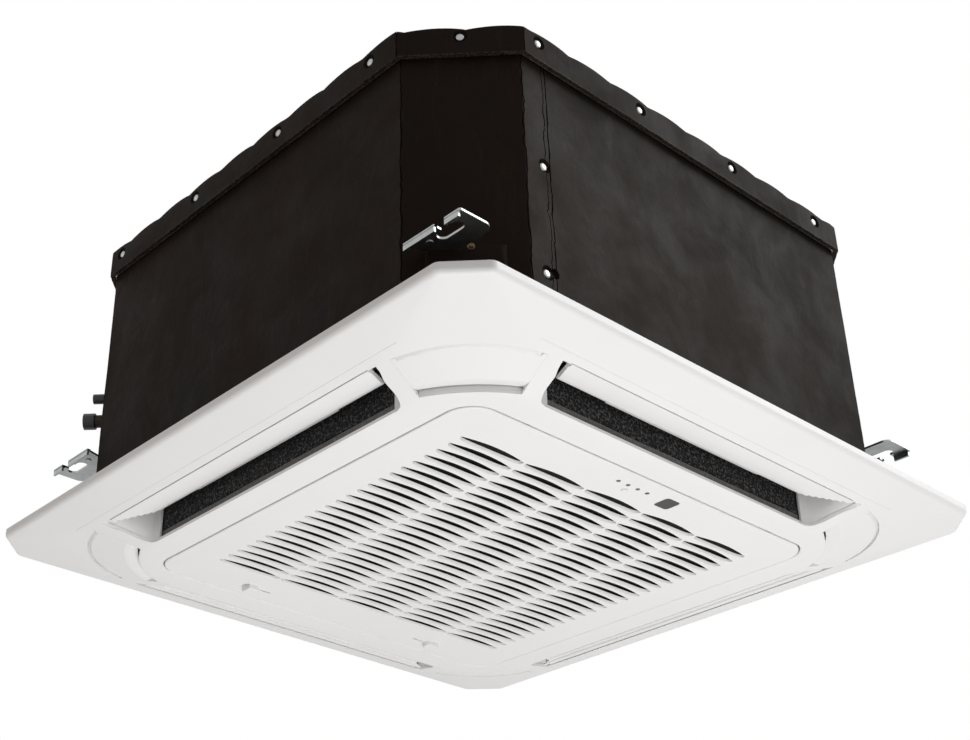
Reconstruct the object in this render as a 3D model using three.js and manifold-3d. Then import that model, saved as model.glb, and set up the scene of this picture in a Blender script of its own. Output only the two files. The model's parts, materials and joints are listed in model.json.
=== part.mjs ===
// A compact four-way ceiling cassette air conditioner, in millimetres, +Z up.
// The origin is the centre of the decoration panel in the plane of the ceiling: the
// panel's underside hangs below it and the insulated body stands above it.
// The four sides are numbered 1 front (-Y), 2 right (+X), 3 back (+Y), 4 left (-X).
// The four corners are numbered 1 (+X -Y), 2 (+X +Y), 3 (-X +Y), 4 (-X -Y).
import * as THREE from "three";
import { mergeVertices } from "three/addons/utils/BufferGeometryUtils.js";
import Module from "manifold-3d";

const wasm = await Module();
wasm.setup();

// ---------------------------------------------------------------- driving dimensions

const FIT = 0.3; // gap between neighbouring pieces
const PLAY = 0.4; // radial play of a pin in its hole

// Decoration panel
const PANEL_HALF = 323.5;
const PANEL_CHAMFER = 29;
const RIM_RADIUS = 8;
const RIM_WALL = 4;
const RIM_DEPTH = 10;
const PANEL_DEPTH = 33;
const SKIN = 2.6;
const BEVEL_OUT = 319.3; // where the sloping face starts, below the rim
const BEVEL_ARC = 284.5; // where its corners have become round
const BEVEL_ARC_Z = -20.2;
const FLAT_HALF = 234;
const FLAT_RADIUS = 67;
const COLLAR_HALF = 292;
const COLLAR_CHAMFER = 74;
const COLLAR_WALL = 2.5;
const PANEL_TOP = 17;
const PANEL_DECK = 3;
const DECK_HALF_LENGTH = 188;

// Air outlets in the panel
const OUTLET_OUT = 284.5;
const OUTLET_IN = 241;
const OUTLET_HALF_OUT = 188;
const OUTLET_HALF_IN = 162;
const DUCT_WALL = 2.3;
const DUCT_TOP_HALF = 151.5;
const DUCT_TOP_OUT = 271;
const LINER_THICKNESS = 5.4;
const LINER_HALF = 150;

// Flaps
const PIVOT_OUT = 282;
const PIVOT_Z = -17;
const FLAP_REST = 21; // degrees, inner edge raised
const FLAP_WIDTH = 41;
const FLAP_END_WIDTH = 38.5;
const FLAP_HALF_OUT = 176;
const FLAP_HALF_IN = 149.5;
const FLAP_STEP_HALF = 95;
const FLAP_THICKNESS = 2.4;
const FLAP_BELOW_PIVOT = 3;
const FLAP_RIBS = 7;
const PIN_RADIUS = 1.6;
const PIN_END = 193;
const MOTOR_OUT = 272.5;
const MOTOR_Z = -8.5;
const MOTOR_RADIUS = 9;

// Intake grille
const GRILLE_HALF = 211.3;
const GRILLE_RADIUS = 25;
const GRILLE_FACE_Z = -33.3;
const GRILLE_TOP_Z = -24;
const GRILLE_WALL = 2.5;
const RECESS_HALF = 212.4;
const INTAKE_HALF = 213.2;
const INTAKE_WALL = 2.8;
const LEDGE_HALF = 203;
const LEDGE_Z = -19.5;
const SLOT_ROWS = 24;
const SLOT_COLUMNS = 5;
const SLOT_ROW_PITCH = 13.9;
const SLOT_COLUMN_PITCH = 71.2;
const SLOT_FIRST_X = 167.5;
const SLOT_FIRST_Y = -144.7;
const SLOT_HALF_LENGTH = 33;
const SLOT_OUTER_BOW = 6;
const SLOT_INNER_BOW = -2.8;
const SWING_X = 206; // the line that the grille swings about
const SWING_Z = -32.8;
const SWING_RANGE = 85; // degrees
const TRACK_RADIUS = 5; // curved tracks in the grille's ears ride on fixed pins
const TRACK_START = 130; // degrees, where a pin lies in its track when the grille is shut
const TRACK_WALL = 1.6;
const HINGE_X = SWING_X + TRACK_RADIUS * Math.cos((TRACK_START * Math.PI) / 180);
const HINGE_Z = SWING_Z + TRACK_RADIUS * Math.sin((TRACK_START * Math.PI) / 180);
const HINGE_Y = 150;
const HINGE_PIN_RADIUS = 1.2;
const LUG_HALF = 2.8; // half thickness of a hinge lug along Y
const LUG_RADIUS = 2.1;
const EAR_HALF = 2; // half thickness of an ear along Y
const EAR_OFFSET = 5.6; // from the lug's middle to an ear's middle
const LATCH_X = -190;
const LATCH_Y = 117;
const LATCH_TRAVEL = 10;

// Signal strip on the grille
const LIGHT_X = 194;
const LIGHT_FIRST_Y = -26.7;
const LIGHT_PITCH = 11.9;
const LIGHT_RADIUS = 1.7;
const BUTTON_X = 185.6;
const BUTTON_Y = -9.9;
const BUTTON_RADIUS = 2.6;
const WINDOW_X = 191.4;
const WINDOW_Y = 37.3;
const WINDOW_HALF = 8.2;

// Body
const BODY_BOTTOM = 22;
const BODY_TOP = 282;
const FOAM_HALF = 281.6;
const FOAM_CHAMFER = 68.9;
const FOAM_THICKNESS = 3.7;
const SHELL_THICKNESS = 1.2;
const BAND_HALF = 288;
const BAND_CHAMFER = 73.7;
const BAND_BOTTOM = 256.7;
const BAND_TOP = 286;
const LID_THICKNESS = 1.2;

// Hanger brackets
const HANGER_TOP = 68.5;
const HANGER_THICKNESS = 2;
const HANGER_OUT_Y = 288;
const HANGER_OUT_X = 284;
const HANGER_LIP = 6.5;
const HANGER_SLOT_X = 260;
const HANGER_SLOT_Y = 275.2;
const HANGER_SLOT_WIDTH = 10.5;
const HANGER_SLOT_LENGTH = 26;
const HANGER_MOUTH_X = 261.5;
const HANGER_MOUTH = 11;

// Inside the body
const PAN_BOTTOM = 24.6;
const PAN_TOP = 70;
const BODY_DUCT_IN = 238;
const BODY_DUCT_OUT = 268;
const COIL_OUT = 215;
const COIL_IN = 187;
const COIL_BOTTOM = 64;
const COIL_TOP = 262;
const COIL_GATE = 150; // the coil is open from here to its (-X -Y) corner
const THROAT_RADIUS = 118;
const FAN_RADIUS = 150;
const FAN_BOTTOM = 78;
const FAN_TOP = 225;
const FAN_BLADES = 7;
const SHAFT_RADIUS = 5;
const GAS_PIPE_Z = 122;
const GAS_PIPE_RADIUS = 6.35;
const LIQUID_PIPE_Z = 147;
const LIQUID_PIPE_RADIUS = 3.2;

// ---------------------------------------------------------------- shapes and solids

const { PI, SQRT2, cos, sin, tan } = Math;
const QUARTER = PI / 2;
const radians = (degrees) => (degrees * PI) / 180;
const point = (x, y) => new THREE.Vector2(x, y);

// A closed solid from a geometry, its faces turned outwards.
function solid(geometry) {
  const bare = geometry.index ? geometry.toNonIndexed() : geometry.clone();
  for (const name of Object.keys(bare.attributes)) {
    if (name !== "position") bare.deleteAttribute(name);
  }
  const merged = mergeVertices(bare, 1e-4);
  const vertProperties = merged.attributes.position.array;
  const triVerts = new Uint32Array(merged.index.array);
  const made = new wasm.Manifold(new wasm.Mesh({ numProp: 3, vertProperties, triVerts }));
  if (made.volume() > 0) return made;
  triVerts.reverse();
  return new wasm.Manifold(new wasm.Mesh({ numProp: 3, vertProperties, triVerts }));
}

const asSolid = (shape) => (shape.isBufferGeometry ? solid(shape) : shape);
const join = (...shapes) => shapes.map(asSolid).reduce((a, b) => a.add(b));
const cut = (shape, ...tools) => tools.map(asSolid).reduce((a, b) => a.subtract(b), asSolid(shape));
const common = (...shapes) => shapes.map(asSolid).reduce((a, b) => a.intersect(b));

function geometryOf(shape) {
  const mesh = asSolid(shape).getMesh();
  const positions = new Float32Array(mesh.numVert * 3);
  for (let i = 0; i < mesh.numVert; i++) {
    const start = i * mesh.numProp;
    positions.set(mesh.vertProperties.subarray(start, start + 3), i * 3);
  }
  const indexed = new THREE.BufferGeometry()
    .setAttribute("position", new THREE.BufferAttribute(positions, 3))
    .setIndex(new THREE.BufferAttribute(new Uint32Array(mesh.triVerts), 1));
  const faceted = indexed.toNonIndexed();
  faceted.computeVertexNormals();
  return faceted;
}

// A box between two limits on each axis.
function box([x0, x1], [y0, y1], [z0, z1]) {
  return new THREE.BoxGeometry(x1 - x0, y1 - y0, z1 - z0).translate(
    (x0 + x1) / 2,
    (y0 + y1) / 2,
    (z0 + z1) / 2,
  );
}

// An upright prism over an outline of points, with optional holes.
function prism(outline, z0, z1, holes = []) {
  const shape = new THREE.Shape(outline);
  shape.holes = holes.map((hole) => new THREE.Path(hole));
  const options = { depth: z1 - z0, bevelEnabled: false };
  return new THREE.ExtrudeGeometry(shape, options).translate(0, 0, z0);
}

// A prism along X over an outline of (y, z) points.
function prismAlongX(outline, x0, x1, holes = []) {
  return prism(outline, x0, x1, holes).rotateZ(QUARTER).rotateY(QUARTER);
}

// A prism along Y over an outline of (x, z) points.
function prismAlongY(outline, y0, y1, holes = []) {
  return prism(outline, -y1, -y0, holes).rotateX(QUARTER);
}

function rod(radius, z0, z1, x = 0, y = 0, segments = 24) {
  return new THREE.CylinderGeometry(radius, radius, z1 - z0, segments)
    .rotateX(QUARTER)
    .translate(x, y, (z0 + z1) / 2);
}

function rodAlongX(radius, x0, x1, y, z, segments = 10) {
  return new THREE.CylinderGeometry(radius, radius, x1 - x0, segments)
    .rotateZ(QUARTER)
    .translate((x0 + x1) / 2, y, z);
}

function rodAlongY(radius, y0, y1, x, z, segments = 10) {
  return new THREE.CylinderGeometry(radius, radius, y1 - y0, segments).translate(
    x,
    (y0 + y1) / 2,
    z,
  );
}

// A turned solid about Z from a closed profile of (radius, height) points.
function turned(profile, segments = 30) {
  return new THREE.LatheGeometry([...profile, profile[0]], segments).rotateX(QUARTER);
}

// A round tube or bar along a path.
function bar(path, outer, inner, steps, sides = 12) {
  const section = new THREE.Shape().absarc(0, 0, outer, 0, 2 * PI, false);
  if (inner > 0) section.holes = [new THREE.Path().absarc(0, 0, inner, 0, 2 * PI, true)];
  const options = { steps, extrudePath: path, curveSegments: sides, bevelEnabled: false };
  return new THREE.ExtrudeGeometry(section, options);
}

function arc(x, y, radius, from, to, steps) {
  const points = [];
  for (let i = 0; i <= steps; i++) {
    const angle = radians(from + ((to - from) * i) / steps);
    points.push(point(x + radius * cos(angle), y + radius * sin(angle)));
  }
  return points;
}

// One corner, in the quarter where x and y are positive, with eight points so that
// every outline of the panel matches the next.
function roundCorner(half, radius) {
  return arc(half - radius, half - radius, radius, 0, 90, 7);
}

function chamferCorner(half, chamfer, radius) {
  const inset = half - radius;
  const start = half - chamfer - radius * tan(PI / 8);
  return [...arc(inset, start, radius, 0, 45, 3), ...arc(start, inset, radius, 45, 90, 3)];
}

// The whole outline from its corner, turned through the four quarters.
function square(corner) {
  return [0, 1, 2, 3].flatMap((quarter) =>
    corner.map((p) => p.clone().rotateAround(point(0, 0), quarter * QUARTER)),
  );
}

const roundSquare = (half, radius) => square(roundCorner(half, radius));

function octagon(half, chamfer) {
  return square([point(half, half - chamfer), point(half - chamfer, half)]);
}

// A rim outline that keeps an even distance inside the panel's edge.
function rimSquare(half) {
  const chamfer = PANEL_CHAMFER - (2 - SQRT2) * (PANEL_HALF - half);
  return square(chamferCorner(half, chamfer, RIM_RADIUS));
}

// A solid through matching level outlines: a lathe whose rings take these outlines.
function through(levels) {
  const count = levels[0].outline.length;
  const first = point(0, levels[0].z);
  const last = point(0, levels[levels.length - 1].z);
  const profile = [first, ...levels.map((level) => point(1, level.z)), last];
  const geometry = new THREE.LatheGeometry(profile, count);
  const position = geometry.attributes.position;
  for (let i = 0; i <= count; i++) {
    profile.forEach((p, j) => {
      const onAxis = j === 0 || j > levels.length;
      const place = onAxis ? point(0, 0) : levels[j - 1].outline[i % count];
      position.setXYZ(i * profile.length + j, place.x, place.y, p.y);
    });
  }
  return geometry;
}

// The same shape on all four sides or corners.
function fourWays(geometry) {
  return [0, 1, 2, 3].map((quarter) => geometry.clone().rotateZ(quarter * QUARTER));
}

// ---------------------------------------------------------------- materials and meshes

function finish(color, roughness, metalness = 0) {
  return new THREE.MeshStandardMaterial({ color, roughness, metalness });
}

const whitePlastic = () => finish(0xdedbd7, 0.42);
const blackFoam = () => finish(0x1b1816, 0.9);
const blackPlastic = () => finish(0x17171a, 0.5);
const zincSteel = () => finish(0xc3c6c4, 0.35, 1);
const whiteFoam = () => finish(0xe9e9e4, 0.85);
const copper = () => finish(0xb66f4a, 0.35, 1);

function piece(name, shape, material) {
  const mesh = new THREE.Mesh(geometryOf(shape), material);
  mesh.name = name;
  return mesh;
}

const model = new THREE.Group();

// Groups for pieces that repeat on each side or at each corner.
function quarterGroup(index) {
  const group = new THREE.Group();
  group.rotation.z = index * QUARTER;
  model.add(group);
  return group;
}

// ---------------------------------------------------------------- decoration panel

const outerSkin = (lift = 0) =>
  through([
    { outline: rimSquare(PANEL_HALF), z: lift },
    { outline: rimSquare(PANEL_HALF), z: lift - 5.5 },
    { outline: rimSquare(PANEL_HALF - 1.2), z: lift - 8.3 },
    { outline: rimSquare(BEVEL_OUT), z: lift - RIM_DEPTH },
    { outline: roundSquare(BEVEL_ARC, 99), z: lift + BEVEL_ARC_Z },
    { outline: roundSquare(245, 74), z: lift - PANEL_DEPTH + 1.8 },
    { outline: roundSquare(240, 71), z: lift - PANEL_DEPTH + 0.4 },
    { outline: roundSquare(FLAT_HALF, FLAT_RADIUS), z: lift - PANEL_DEPTH },
  ]);

const skinHollow = (lift = 0) =>
  through([
    { outline: rimSquare(PANEL_HALF - RIM_WALL), z: lift + 1 },
    { outline: rimSquare(PANEL_HALF - RIM_WALL), z: lift - 5.8 },
    { outline: rimSquare(BEVEL_OUT - 3.3), z: lift - 7.6 },
    { outline: roundSquare(283, 97), z: lift + BEVEL_ARC_Z + SKIN },
    { outline: roundSquare(OUTLET_IN, 72), z: lift - PANEL_DEPTH + 3.4 },
    { outline: roundSquare(FLAT_HALF - 2, FLAT_RADIUS - 2), z: lift - PANEL_DEPTH + SKIN },
  ]);

// The passage of the front outlet: where its plan, its front view and its side view
// meet. Grown by the wall thickness it gives the outside of the duct.
function outletPassage(grow, bottom, top) {
  const near = -OUTLET_OUT - grow;
  const far = -OUTLET_IN + grow;
  const plan = [
    point(-OUTLET_HALF_OUT - grow, near),
    point(OUTLET_HALF_OUT + grow, near),
    point(180 + grow, -268),
    point(175 + grow, -253),
    point(171 + grow, -246),
    point(168 + grow, far - 2.2),
    point(OUTLET_HALF_IN, far),
    point(-OUTLET_HALF_IN, far),
    point(-168 - grow, far - 2.2),
    point(-171 - grow, -246),
    point(-175 - grow, -253),
    point(-180 - grow, -268),
  ];
  const low = OUTLET_HALF_OUT + 0.5 + grow;
  const high = DUCT_TOP_HALF + grow;
  const front = [point(-low, -40), point(low, -40), point(low, -20), point(high, 17)];
  front.push(point(high, 20), point(-high, 20), point(-high, 17), point(-low, -20));
  const back = -OUTLET_IN + LINER_THICKNESS + FIT * 2 + grow;
  const lip = -PANEL_DEPTH + 3.5 - grow;
  const side = [point(near, -40), point(-OUTLET_IN, -40), point(-OUTLET_IN, lip)];
  side.push(point(back, lip), point(back, 20), point(-DUCT_TOP_OUT - grow, 20));
  side.push(point(-DUCT_TOP_OUT - grow, PANEL_TOP), point(near, -4));
  return common(
    prism(plan.map((p) => (p.y === far ? point(p.x, back) : p)), bottom, top),
    prismAlongY(front, -300, -200),
    prismAlongX(side, -200, 200),
  );
}

// The cover's outline at the (+X -Y) corner, shrunk or grown by a margin.
function coverOutline(margin) {
  const outerArc = arc(185, -185, 98 + margin, -80.5, -9.5, 10);
  const innerArc = arc(146, -146, 104.5 - margin, -23.5, -66.5, 7);
  return [...outerArc, ...innerArc];
}

// The finger pocket along the cover's inner edge.
function pocketOutline() {
  const outerArc = arc(150, -150, 110.5, -66, -24, 7);
  const innerArc = arc(146, -146, 104.5, -23.5, -66.5, 7);
  return [...outerArc, ...innerArc];
}

function panelFrame() {
  const skin = cut(outerSkin(), skinHollow());
  const envelope = join(outerSkin(), prism(octagon(300, 60), -6, PANEL_TOP));
  const collar = prism(octagon(COLLAR_HALF, COLLAR_CHAMFER), -30, PANEL_TOP, [
    octagon(COLLAR_HALF - COLLAR_WALL, COLLAR_CHAMFER - 1.5),
  ]);
  const intake = prism(
    roundSquare(INTAKE_HALF + INTAKE_WALL, GRILLE_RADIUS + INTAKE_WALL),
    -PANEL_DEPTH + 1,
    PANEL_TOP,
    [roundSquare(INTAKE_HALF, GRILLE_RADIUS)],
  );
  const ledge = prism(roundSquare(INTAKE_HALF + 1, GRILLE_RADIUS), LEDGE_Z, LEDGE_Z + 2.5, [
    roundSquare(LEDGE_HALF, GRILLE_RADIUS - 8),
  ]);
  const deckX = [-DECK_HALF_LENGTH, DECK_HALF_LENGTH];
  const deckY = [-COLLAR_HALF + 1, -INTAKE_HALF - 1];
  const deck = box(deckX, deckY, [PANEL_TOP - PANEL_DECK, PANEL_TOP]);
  const duct = outletPassage(DUCT_WALL, -40, PANEL_TOP);
  const shelf = prism(
    [point(212, -212), point(212, -298), point(298, -212)],
    -8,
    -5,
    [arc(240, -240, 4.5, 360, 36, 9)],
  );
  const lug = (y) => {
    const ends = [y - LUG_HALF, y + LUG_HALF];
    return cut(
      join(
        box([HINGE_X - LUG_RADIUS, HINGE_X + LUG_RADIUS], ends, [HINGE_Z, LEDGE_Z + 1]),
        rodAlongY(LUG_RADIUS, ...ends, HINGE_X, HINGE_Z),
      ),
      rodAlongY(HINGE_PIN_RADIUS + FIT / 2, y - 4, y + 4, HINGE_X, HINGE_Z),
    );
  };
  const ribs = join(
    collar,
    intake,
    ledge,
    ...fourWays(deck),
    ...fourWays(geometryOf(duct)),
    ...fourWays(shelf),
    lug(HINGE_Y),
    lug(-HINGE_Y),
  );
  const recessRadius = GRILLE_RADIUS + RECESS_HALF - GRILLE_HALF;
  const recess = prism(roundSquare(RECESS_HALF, recessRadius), -40, -PANEL_DEPTH + 1.4);
  const opening = prism(roundSquare(INTAKE_HALF, GRILLE_RADIUS), -PANEL_DEPTH + 1.3, -22);
  const passage = geometryOf(outletPassage(0, -40, PANEL_TOP + 1));
  const pinHoles = rodAlongX(PIN_RADIUS + PLAY, -PIN_END - 1, PIN_END + 1, -PIVOT_OUT, PIVOT_Z);
  const covers = prism(coverOutline(FIT), -40, -14);
  const whole = join(skin, common(ribs, envelope));
  const hinge = [lug(HINGE_Y), lug(-HINGE_Y)];
  return join(
    cut(
      whole,
      recess,
      opening,
      ...fourWays(passage),
      ...fourWays(pinHoles),
      ...fourWays(covers),
    ),
    ...hinge,
  );
}

function cornerCover() {
  const skin = cut(outerSkin(), skinHollow());
  const cover = common(skin, prism(coverOutline(0), -40, -14));
  const pocket = common(
    cut(outerSkin(), outerSkin(1.5)),
    prism(pocketOutline(), -40, -14),
  );
  return cut(cover, pocket);
}

// ---------------------------------------------------------------- flaps and outlets

function flapHalfLength(y) {
  const slope = (FLAP_HALF_OUT - FLAP_HALF_IN) / FLAP_END_WIDTH;
  return FLAP_HALF_OUT - slope * Math.max(y, 0);
}

// The flap about its pivot line, lying level, with its inner edge towards +Y.
function flap() {
  const outline = [point(-FLAP_HALF_OUT, -1), point(FLAP_HALF_OUT, -1)];
  const right = [
    point(flapHalfLength(10), 10),
    point(flapHalfLength(24), 24),
    point(flapHalfLength(34) - 0.5, 34),
    point(flapHalfLength(38) - 4, FLAP_END_WIDTH),
    point(FLAP_STEP_HALF + 1.5, FLAP_END_WIDTH),
    point(FLAP_STEP_HALF, FLAP_WIDTH),
  ];
  outline.push(...right, ...right.map((p) => point(-p.x, p.y)).reverse());
  const top = -FLAP_BELOW_PIVOT + FLAP_THICKNESS;
  const plate = prism(outline, -FLAP_BELOW_PIVOT, top);
  const ribs = [];
  for (let i = 0; i < FLAP_RIBS; i++) {
    const y = 4 + i * 4.8;
    const half = flapHalfLength(y) - 6;
    const drop = -FLAP_BELOW_PIVOT - 0.6;
    ribs.push(box([-half, half], [y, y + 1.6], [drop, -FLAP_BELOW_PIVOT + 0.3]));
  }
  const pinRight = rodAlongX(PIN_RADIUS, FLAP_HALF_OUT - 12, PIN_END, 0, 0);
  const pinLeft = rodAlongX(PIN_RADIUS, -PIN_END, -FLAP_HALF_OUT + 12, 0, 0);
  return join(plate, ...ribs, pinRight, pinLeft);
}

function flapMotor() {
  const gearbox = new THREE.Shape();
  gearbox.absarc(-MOTOR_OUT, MOTOR_Z, MOTOR_RADIUS, radians(-50), radians(135), false);
  gearbox.absarc(-PIVOT_OUT, PIVOT_Z, 3.8, radians(130), radians(315), false);
  const arm = prismAlongX(gearbox.getPoints(4), 190, 194);
  const can = rodAlongX(MOTOR_RADIUS, 194 - FIT, 208.5, -MOTOR_OUT, MOTOR_Z, 14);
  const hole = rodAlongX(PIN_RADIUS + PLAY, 188, 193.5, -PIVOT_OUT, PIVOT_Z);
  const room = join(skinHollow(FIT), box([150, 300], [-300, -200], [0, 20]));
  return common(cut(join(arm, can), hole), room);
}

function outletLiner() {
  const face = -OUTLET_IN + FIT;
  return box(
    [-LINER_HALF, LINER_HALF],
    [face, face + LINER_THICKNESS],
    [-PANEL_DEPTH + 3.8, PANEL_TOP],
  );
}

function panelSeal() {
  const ring = prism(octagon(COLLAR_HALF - 4, COLLAR_CHAMFER - 2), PANEL_TOP + FIT, BODY_BOTTOM - FIT, [
    roundSquare(INTAKE_HALF + 2, GRILLE_RADIUS),
  ]);
  const half = DUCT_TOP_HALF + 2;
  const duct = box([-half, half], [-DUCT_TOP_OUT - 2, -OUTLET_IN + 8], [0, 40]);
  return cut(ring, ...fourWays(duct));
}

// ---------------------------------------------------------------- intake grille

// A lens between two tips, its sides bowed by different amounts.
function slotOutline(x, y) {
  const bow = (amount, t) => x + amount * (1 - t * t);
  const outer = [-1, -0.4, 0.4, 1];
  const inner = [0.4, -0.4];
  return [
    ...outer.map((t) => point(bow(SLOT_OUTER_BOW, t), y + t * SLOT_HALF_LENGTH)),
    ...inner.map((t) => point(bow(SLOT_INNER_BOW, t), y + t * SLOT_HALF_LENGTH)),
  ];
}

function intakeGrille() {
  const slots = [];
  for (let row = 0; row < SLOT_ROWS; row++) {
    for (let column = 0; column < SLOT_COLUMNS; column++) {
      const x = SLOT_FIRST_X - row * SLOT_ROW_PITCH;
      slots.push(slotOutline(x, SLOT_FIRST_Y + column * SLOT_COLUMN_PITCH));
    }
  }
  const floor = GRILLE_FACE_Z + SKIN;
  const edge = through([
    { outline: roundSquare(GRILLE_HALF - 1.3, GRILLE_RADIUS - 1.3), z: GRILLE_FACE_Z },
    { outline: roundSquare(GRILLE_HALF - 0.4, GRILLE_RADIUS - 0.4), z: GRILLE_FACE_Z + 0.4 },
    { outline: roundSquare(GRILLE_HALF, GRILLE_RADIUS), z: GRILLE_FACE_Z + 1.3 },
    { outline: roundSquare(GRILLE_HALF, GRILLE_RADIUS), z: GRILLE_TOP_Z },
  ]);
  const inside = prism(
    roundSquare(GRILLE_HALF - GRILLE_WALL, GRILLE_RADIUS - GRILLE_WALL),
    floor,
    0,
  );
  const slotTool = slots.map((outline) => prism(outline, -40, floor + 1));
  const tray = cut(edge, inside, ...slotTool);
  const ear = (y) => {
    const radius = TRACK_RADIUS + HINGE_PIN_RADIUS + PLAY / 2 + TRACK_WALL;
    const foot = (Math.asin((floor - 0.5 - SWING_Z) / radius) * 180) / PI;
    const ends = [y - EAR_HALF, y + EAR_HALF];
    const disc = prismAlongY(arc(SWING_X, SWING_Z, radius, foot, 180 - foot, 14), ...ends);
    return common(disc, box([0, GRILLE_HALF - 0.2], ends, [floor - 0.5, 0]));
  };
  const earPlaces = [-HINGE_Y, HINGE_Y].flatMap((y) => [y - EAR_OFFSET, y + EAR_OFFSET]);
  const ears = earPlaces.map(ear);
  const lugRoom = (y) =>
    box(
      [HINGE_X - LUG_RADIUS - 1, GRILLE_HALF + 1],
      [y - LUG_HALF - 0.5, y + LUG_HALF + 0.5],
      [GRILLE_FACE_Z + 1.6, 0],
    );
  const pinTrack = (y) => {
    const half = HINGE_PIN_RADIUS + PLAY / 2;
    const spare = (Math.asin(half / TRACK_RADIUS) * 180) / PI + 1;
    const start = TRACK_START + spare;
    const end = TRACK_START - SWING_RANGE - spare;
    const outline = [
      ...arc(SWING_X, SWING_Z, TRACK_RADIUS + half, start, end, 9),
      ...arc(SWING_X, SWING_Z, TRACK_RADIUS - half, end, start, 9),
    ];
    const reach = EAR_OFFSET + EAR_HALF + 1;
    return prismAlongY(outline, y - reach, y + reach);
  };
  const latchRoom = (side) =>
    box(
      [LATCH_X - 8.3, LATCH_X + 8.3],
      [
        side * LATCH_Y - 8 - (side > 0 ? LATCH_TRAVEL : 0),
        side * LATCH_Y + 8 + (side < 0 ? LATCH_TRAVEL : 0),
      ],
      [-40, floor + 1],
    );
  const lights = lightPlaces().map(([x, y]) => rod(LIGHT_RADIUS + FIT, -40, -26, x, y, 12));
  return cut(
    join(tray, ...ears),
    lugRoom(-HINGE_Y),
    lugRoom(HINGE_Y),
    pinTrack(-HINGE_Y),
    pinTrack(HINGE_Y),
    latchRoom(-1),
    latchRoom(1),
    ...lights,
    rod(BUTTON_RADIUS + FIT, -40, -26, BUTTON_X, BUTTON_Y, 16),
    prism(windowOutline(WINDOW_HALF + FIT), -40, -26),
  );
}

function lightPlaces() {
  return [0, 1, 2, 3].map((i) => [LIGHT_X, LIGHT_FIRST_Y + i * LIGHT_PITCH]);
}

function windowOutline(half) {
  return square(arc(half - 3, half - 3, 3, 0, 90, 3)).map((p) =>
    point(p.x + WINDOW_X, p.y + WINDOW_Y),
  );
}

// The finger tab shows in the grille's slot; its wings slide on the inside.
function grilleLatch(side) {
  const y = side * LATCH_Y;
  const tab = prism(
    [
      ...arc(LATCH_X + 3, y, 5, 0, 90, 3),
      ...arc(LATCH_X - 3, y, 5, 90, 180, 3),
      point(LATCH_X - 8, y - 7),
      point(LATCH_X + 8, y - 7),
    ].map((p) => point(p.x, y + (p.y - y) * -side)),
    GRILLE_FACE_Z - 0.5,
    GRILLE_FACE_Z + SKIN + FIT + 0.2,
  );
  const base = GRILLE_FACE_Z + SKIN + FIT;
  const wings = box([LATCH_X - 10, LATCH_X + 10], [y - 9, y + 9], [base, base + 1.5]);
  return join(tab, wings);
}

function airFilter() {
  const x = 168;
  const y = 188;
  const low = GRILLE_FACE_Z + SKIN + FIT;
  const outline = (dx, dy) => [point(-dx, -dy), point(dx, -dy), point(dx, dy), point(-dx, dy)];
  const ring = prism(outline(x, y), low, low + 4, [outline(x - 8, y - 8)]);
  const ribs = [];
  for (const step of [-2, -1, 0, 1, 2]) {
    const across = step * 53;
    const along = step * 60;
    ribs.push(box([across - 1, across + 1], [-y + 7, y - 7], [low + 2.6, low + 3.8]));
    ribs.push(box([-x + 7, x - 7], [along - 1, along + 1], [low + 2.5, low + 3.6]));
  }
  return join(ring, ...ribs);
}

function filterNet() {
  const low = GRILLE_FACE_Z + SKIN + FIT + 1.7;
  return box([-159.6, 159.6], [-179.6, 179.6], [low, low + 0.6]);
}

function displayBoard() {
  const low = GRILLE_FACE_Z + SKIN + 0.9;
  return box([180, 201], [-45, 50], [low, low + 1.6]);
}

// ---------------------------------------------------------------- insulated body

// An outline of the body at an even distance inside or outside its foam.
const bodyOutline = (half) => octagon(half, FOAM_CHAMFER - (2 - SQRT2) * (FOAM_HALF - half));
const shellHalf = FOAM_HALF - FOAM_THICKNESS - FIT;

// Places a geometry made for the +X face onto the (-X -Y) chamfer.
const ontoPipeCorner = (geometry) => geometry.rotateZ(radians(225));

function pipeHoles(clear) {
  const faces = [280, 420];
  return [
    rodAlongX(GAS_PIPE_RADIUS + clear, ...faces, 0, GAS_PIPE_Z),
    rodAlongX(LIQUID_PIPE_RADIUS + clear, ...faces, 0, LIQUID_PIPE_Z),
  ].map(ontoPipeCorner);
}

const drainHole = (clear) => rodAlongX(12.5 + clear, -300, -260, -150, 215);

function cabinetShell() {
  const wall = prism(bodyOutline(shellHalf), BODY_BOTTOM, BODY_TOP, [
    bodyOutline(shellHalf - SHELL_THICKNESS),
  ]);
  return cut(wall, ...pipeHoles(1), drainHole(1));
}

function sideInsulation() {
  const inner = FOAM_HALF - FOAM_THICKNESS;
  const wall = prism(bodyOutline(FOAM_HALF), BODY_BOTTOM, 270, [bodyOutline(inner)]);
  const seam = box([inner - 1, FOAM_HALF + 1], [-186, -185.4], [0, 300]);
  return cut(wall, ...pipeHoles(1), drainHole(1), seam);
}

function topPlate() {
  const skirtInner = FOAM_HALF + 0.6;
  const skirtOuter = skirtInner + LID_THICKNESS;
  const lidBottom = BODY_TOP + FIT;
  const lid = prism(bodyOutline(skirtOuter), lidBottom, lidBottom + LID_THICKNESS);
  const skirt = prism(bodyOutline(skirtOuter), BAND_BOTTOM + 1.5, BODY_TOP + 1, [
    bodyOutline(skirtInner),
  ]);
  return join(lid, skirt);
}

function topInsulation() {
  const inner = FOAM_HALF + 0.6 + LID_THICKNESS + FIT;
  const block = prism(octagon(BAND_HALF, BAND_CHAMFER), BAND_BOTTOM, BAND_TOP);
  const room = prism(bodyOutline(inner), BAND_BOTTOM - 1, BODY_TOP + LID_THICKNESS + FIT * 2);
  return cut(block, room);
}

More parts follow.
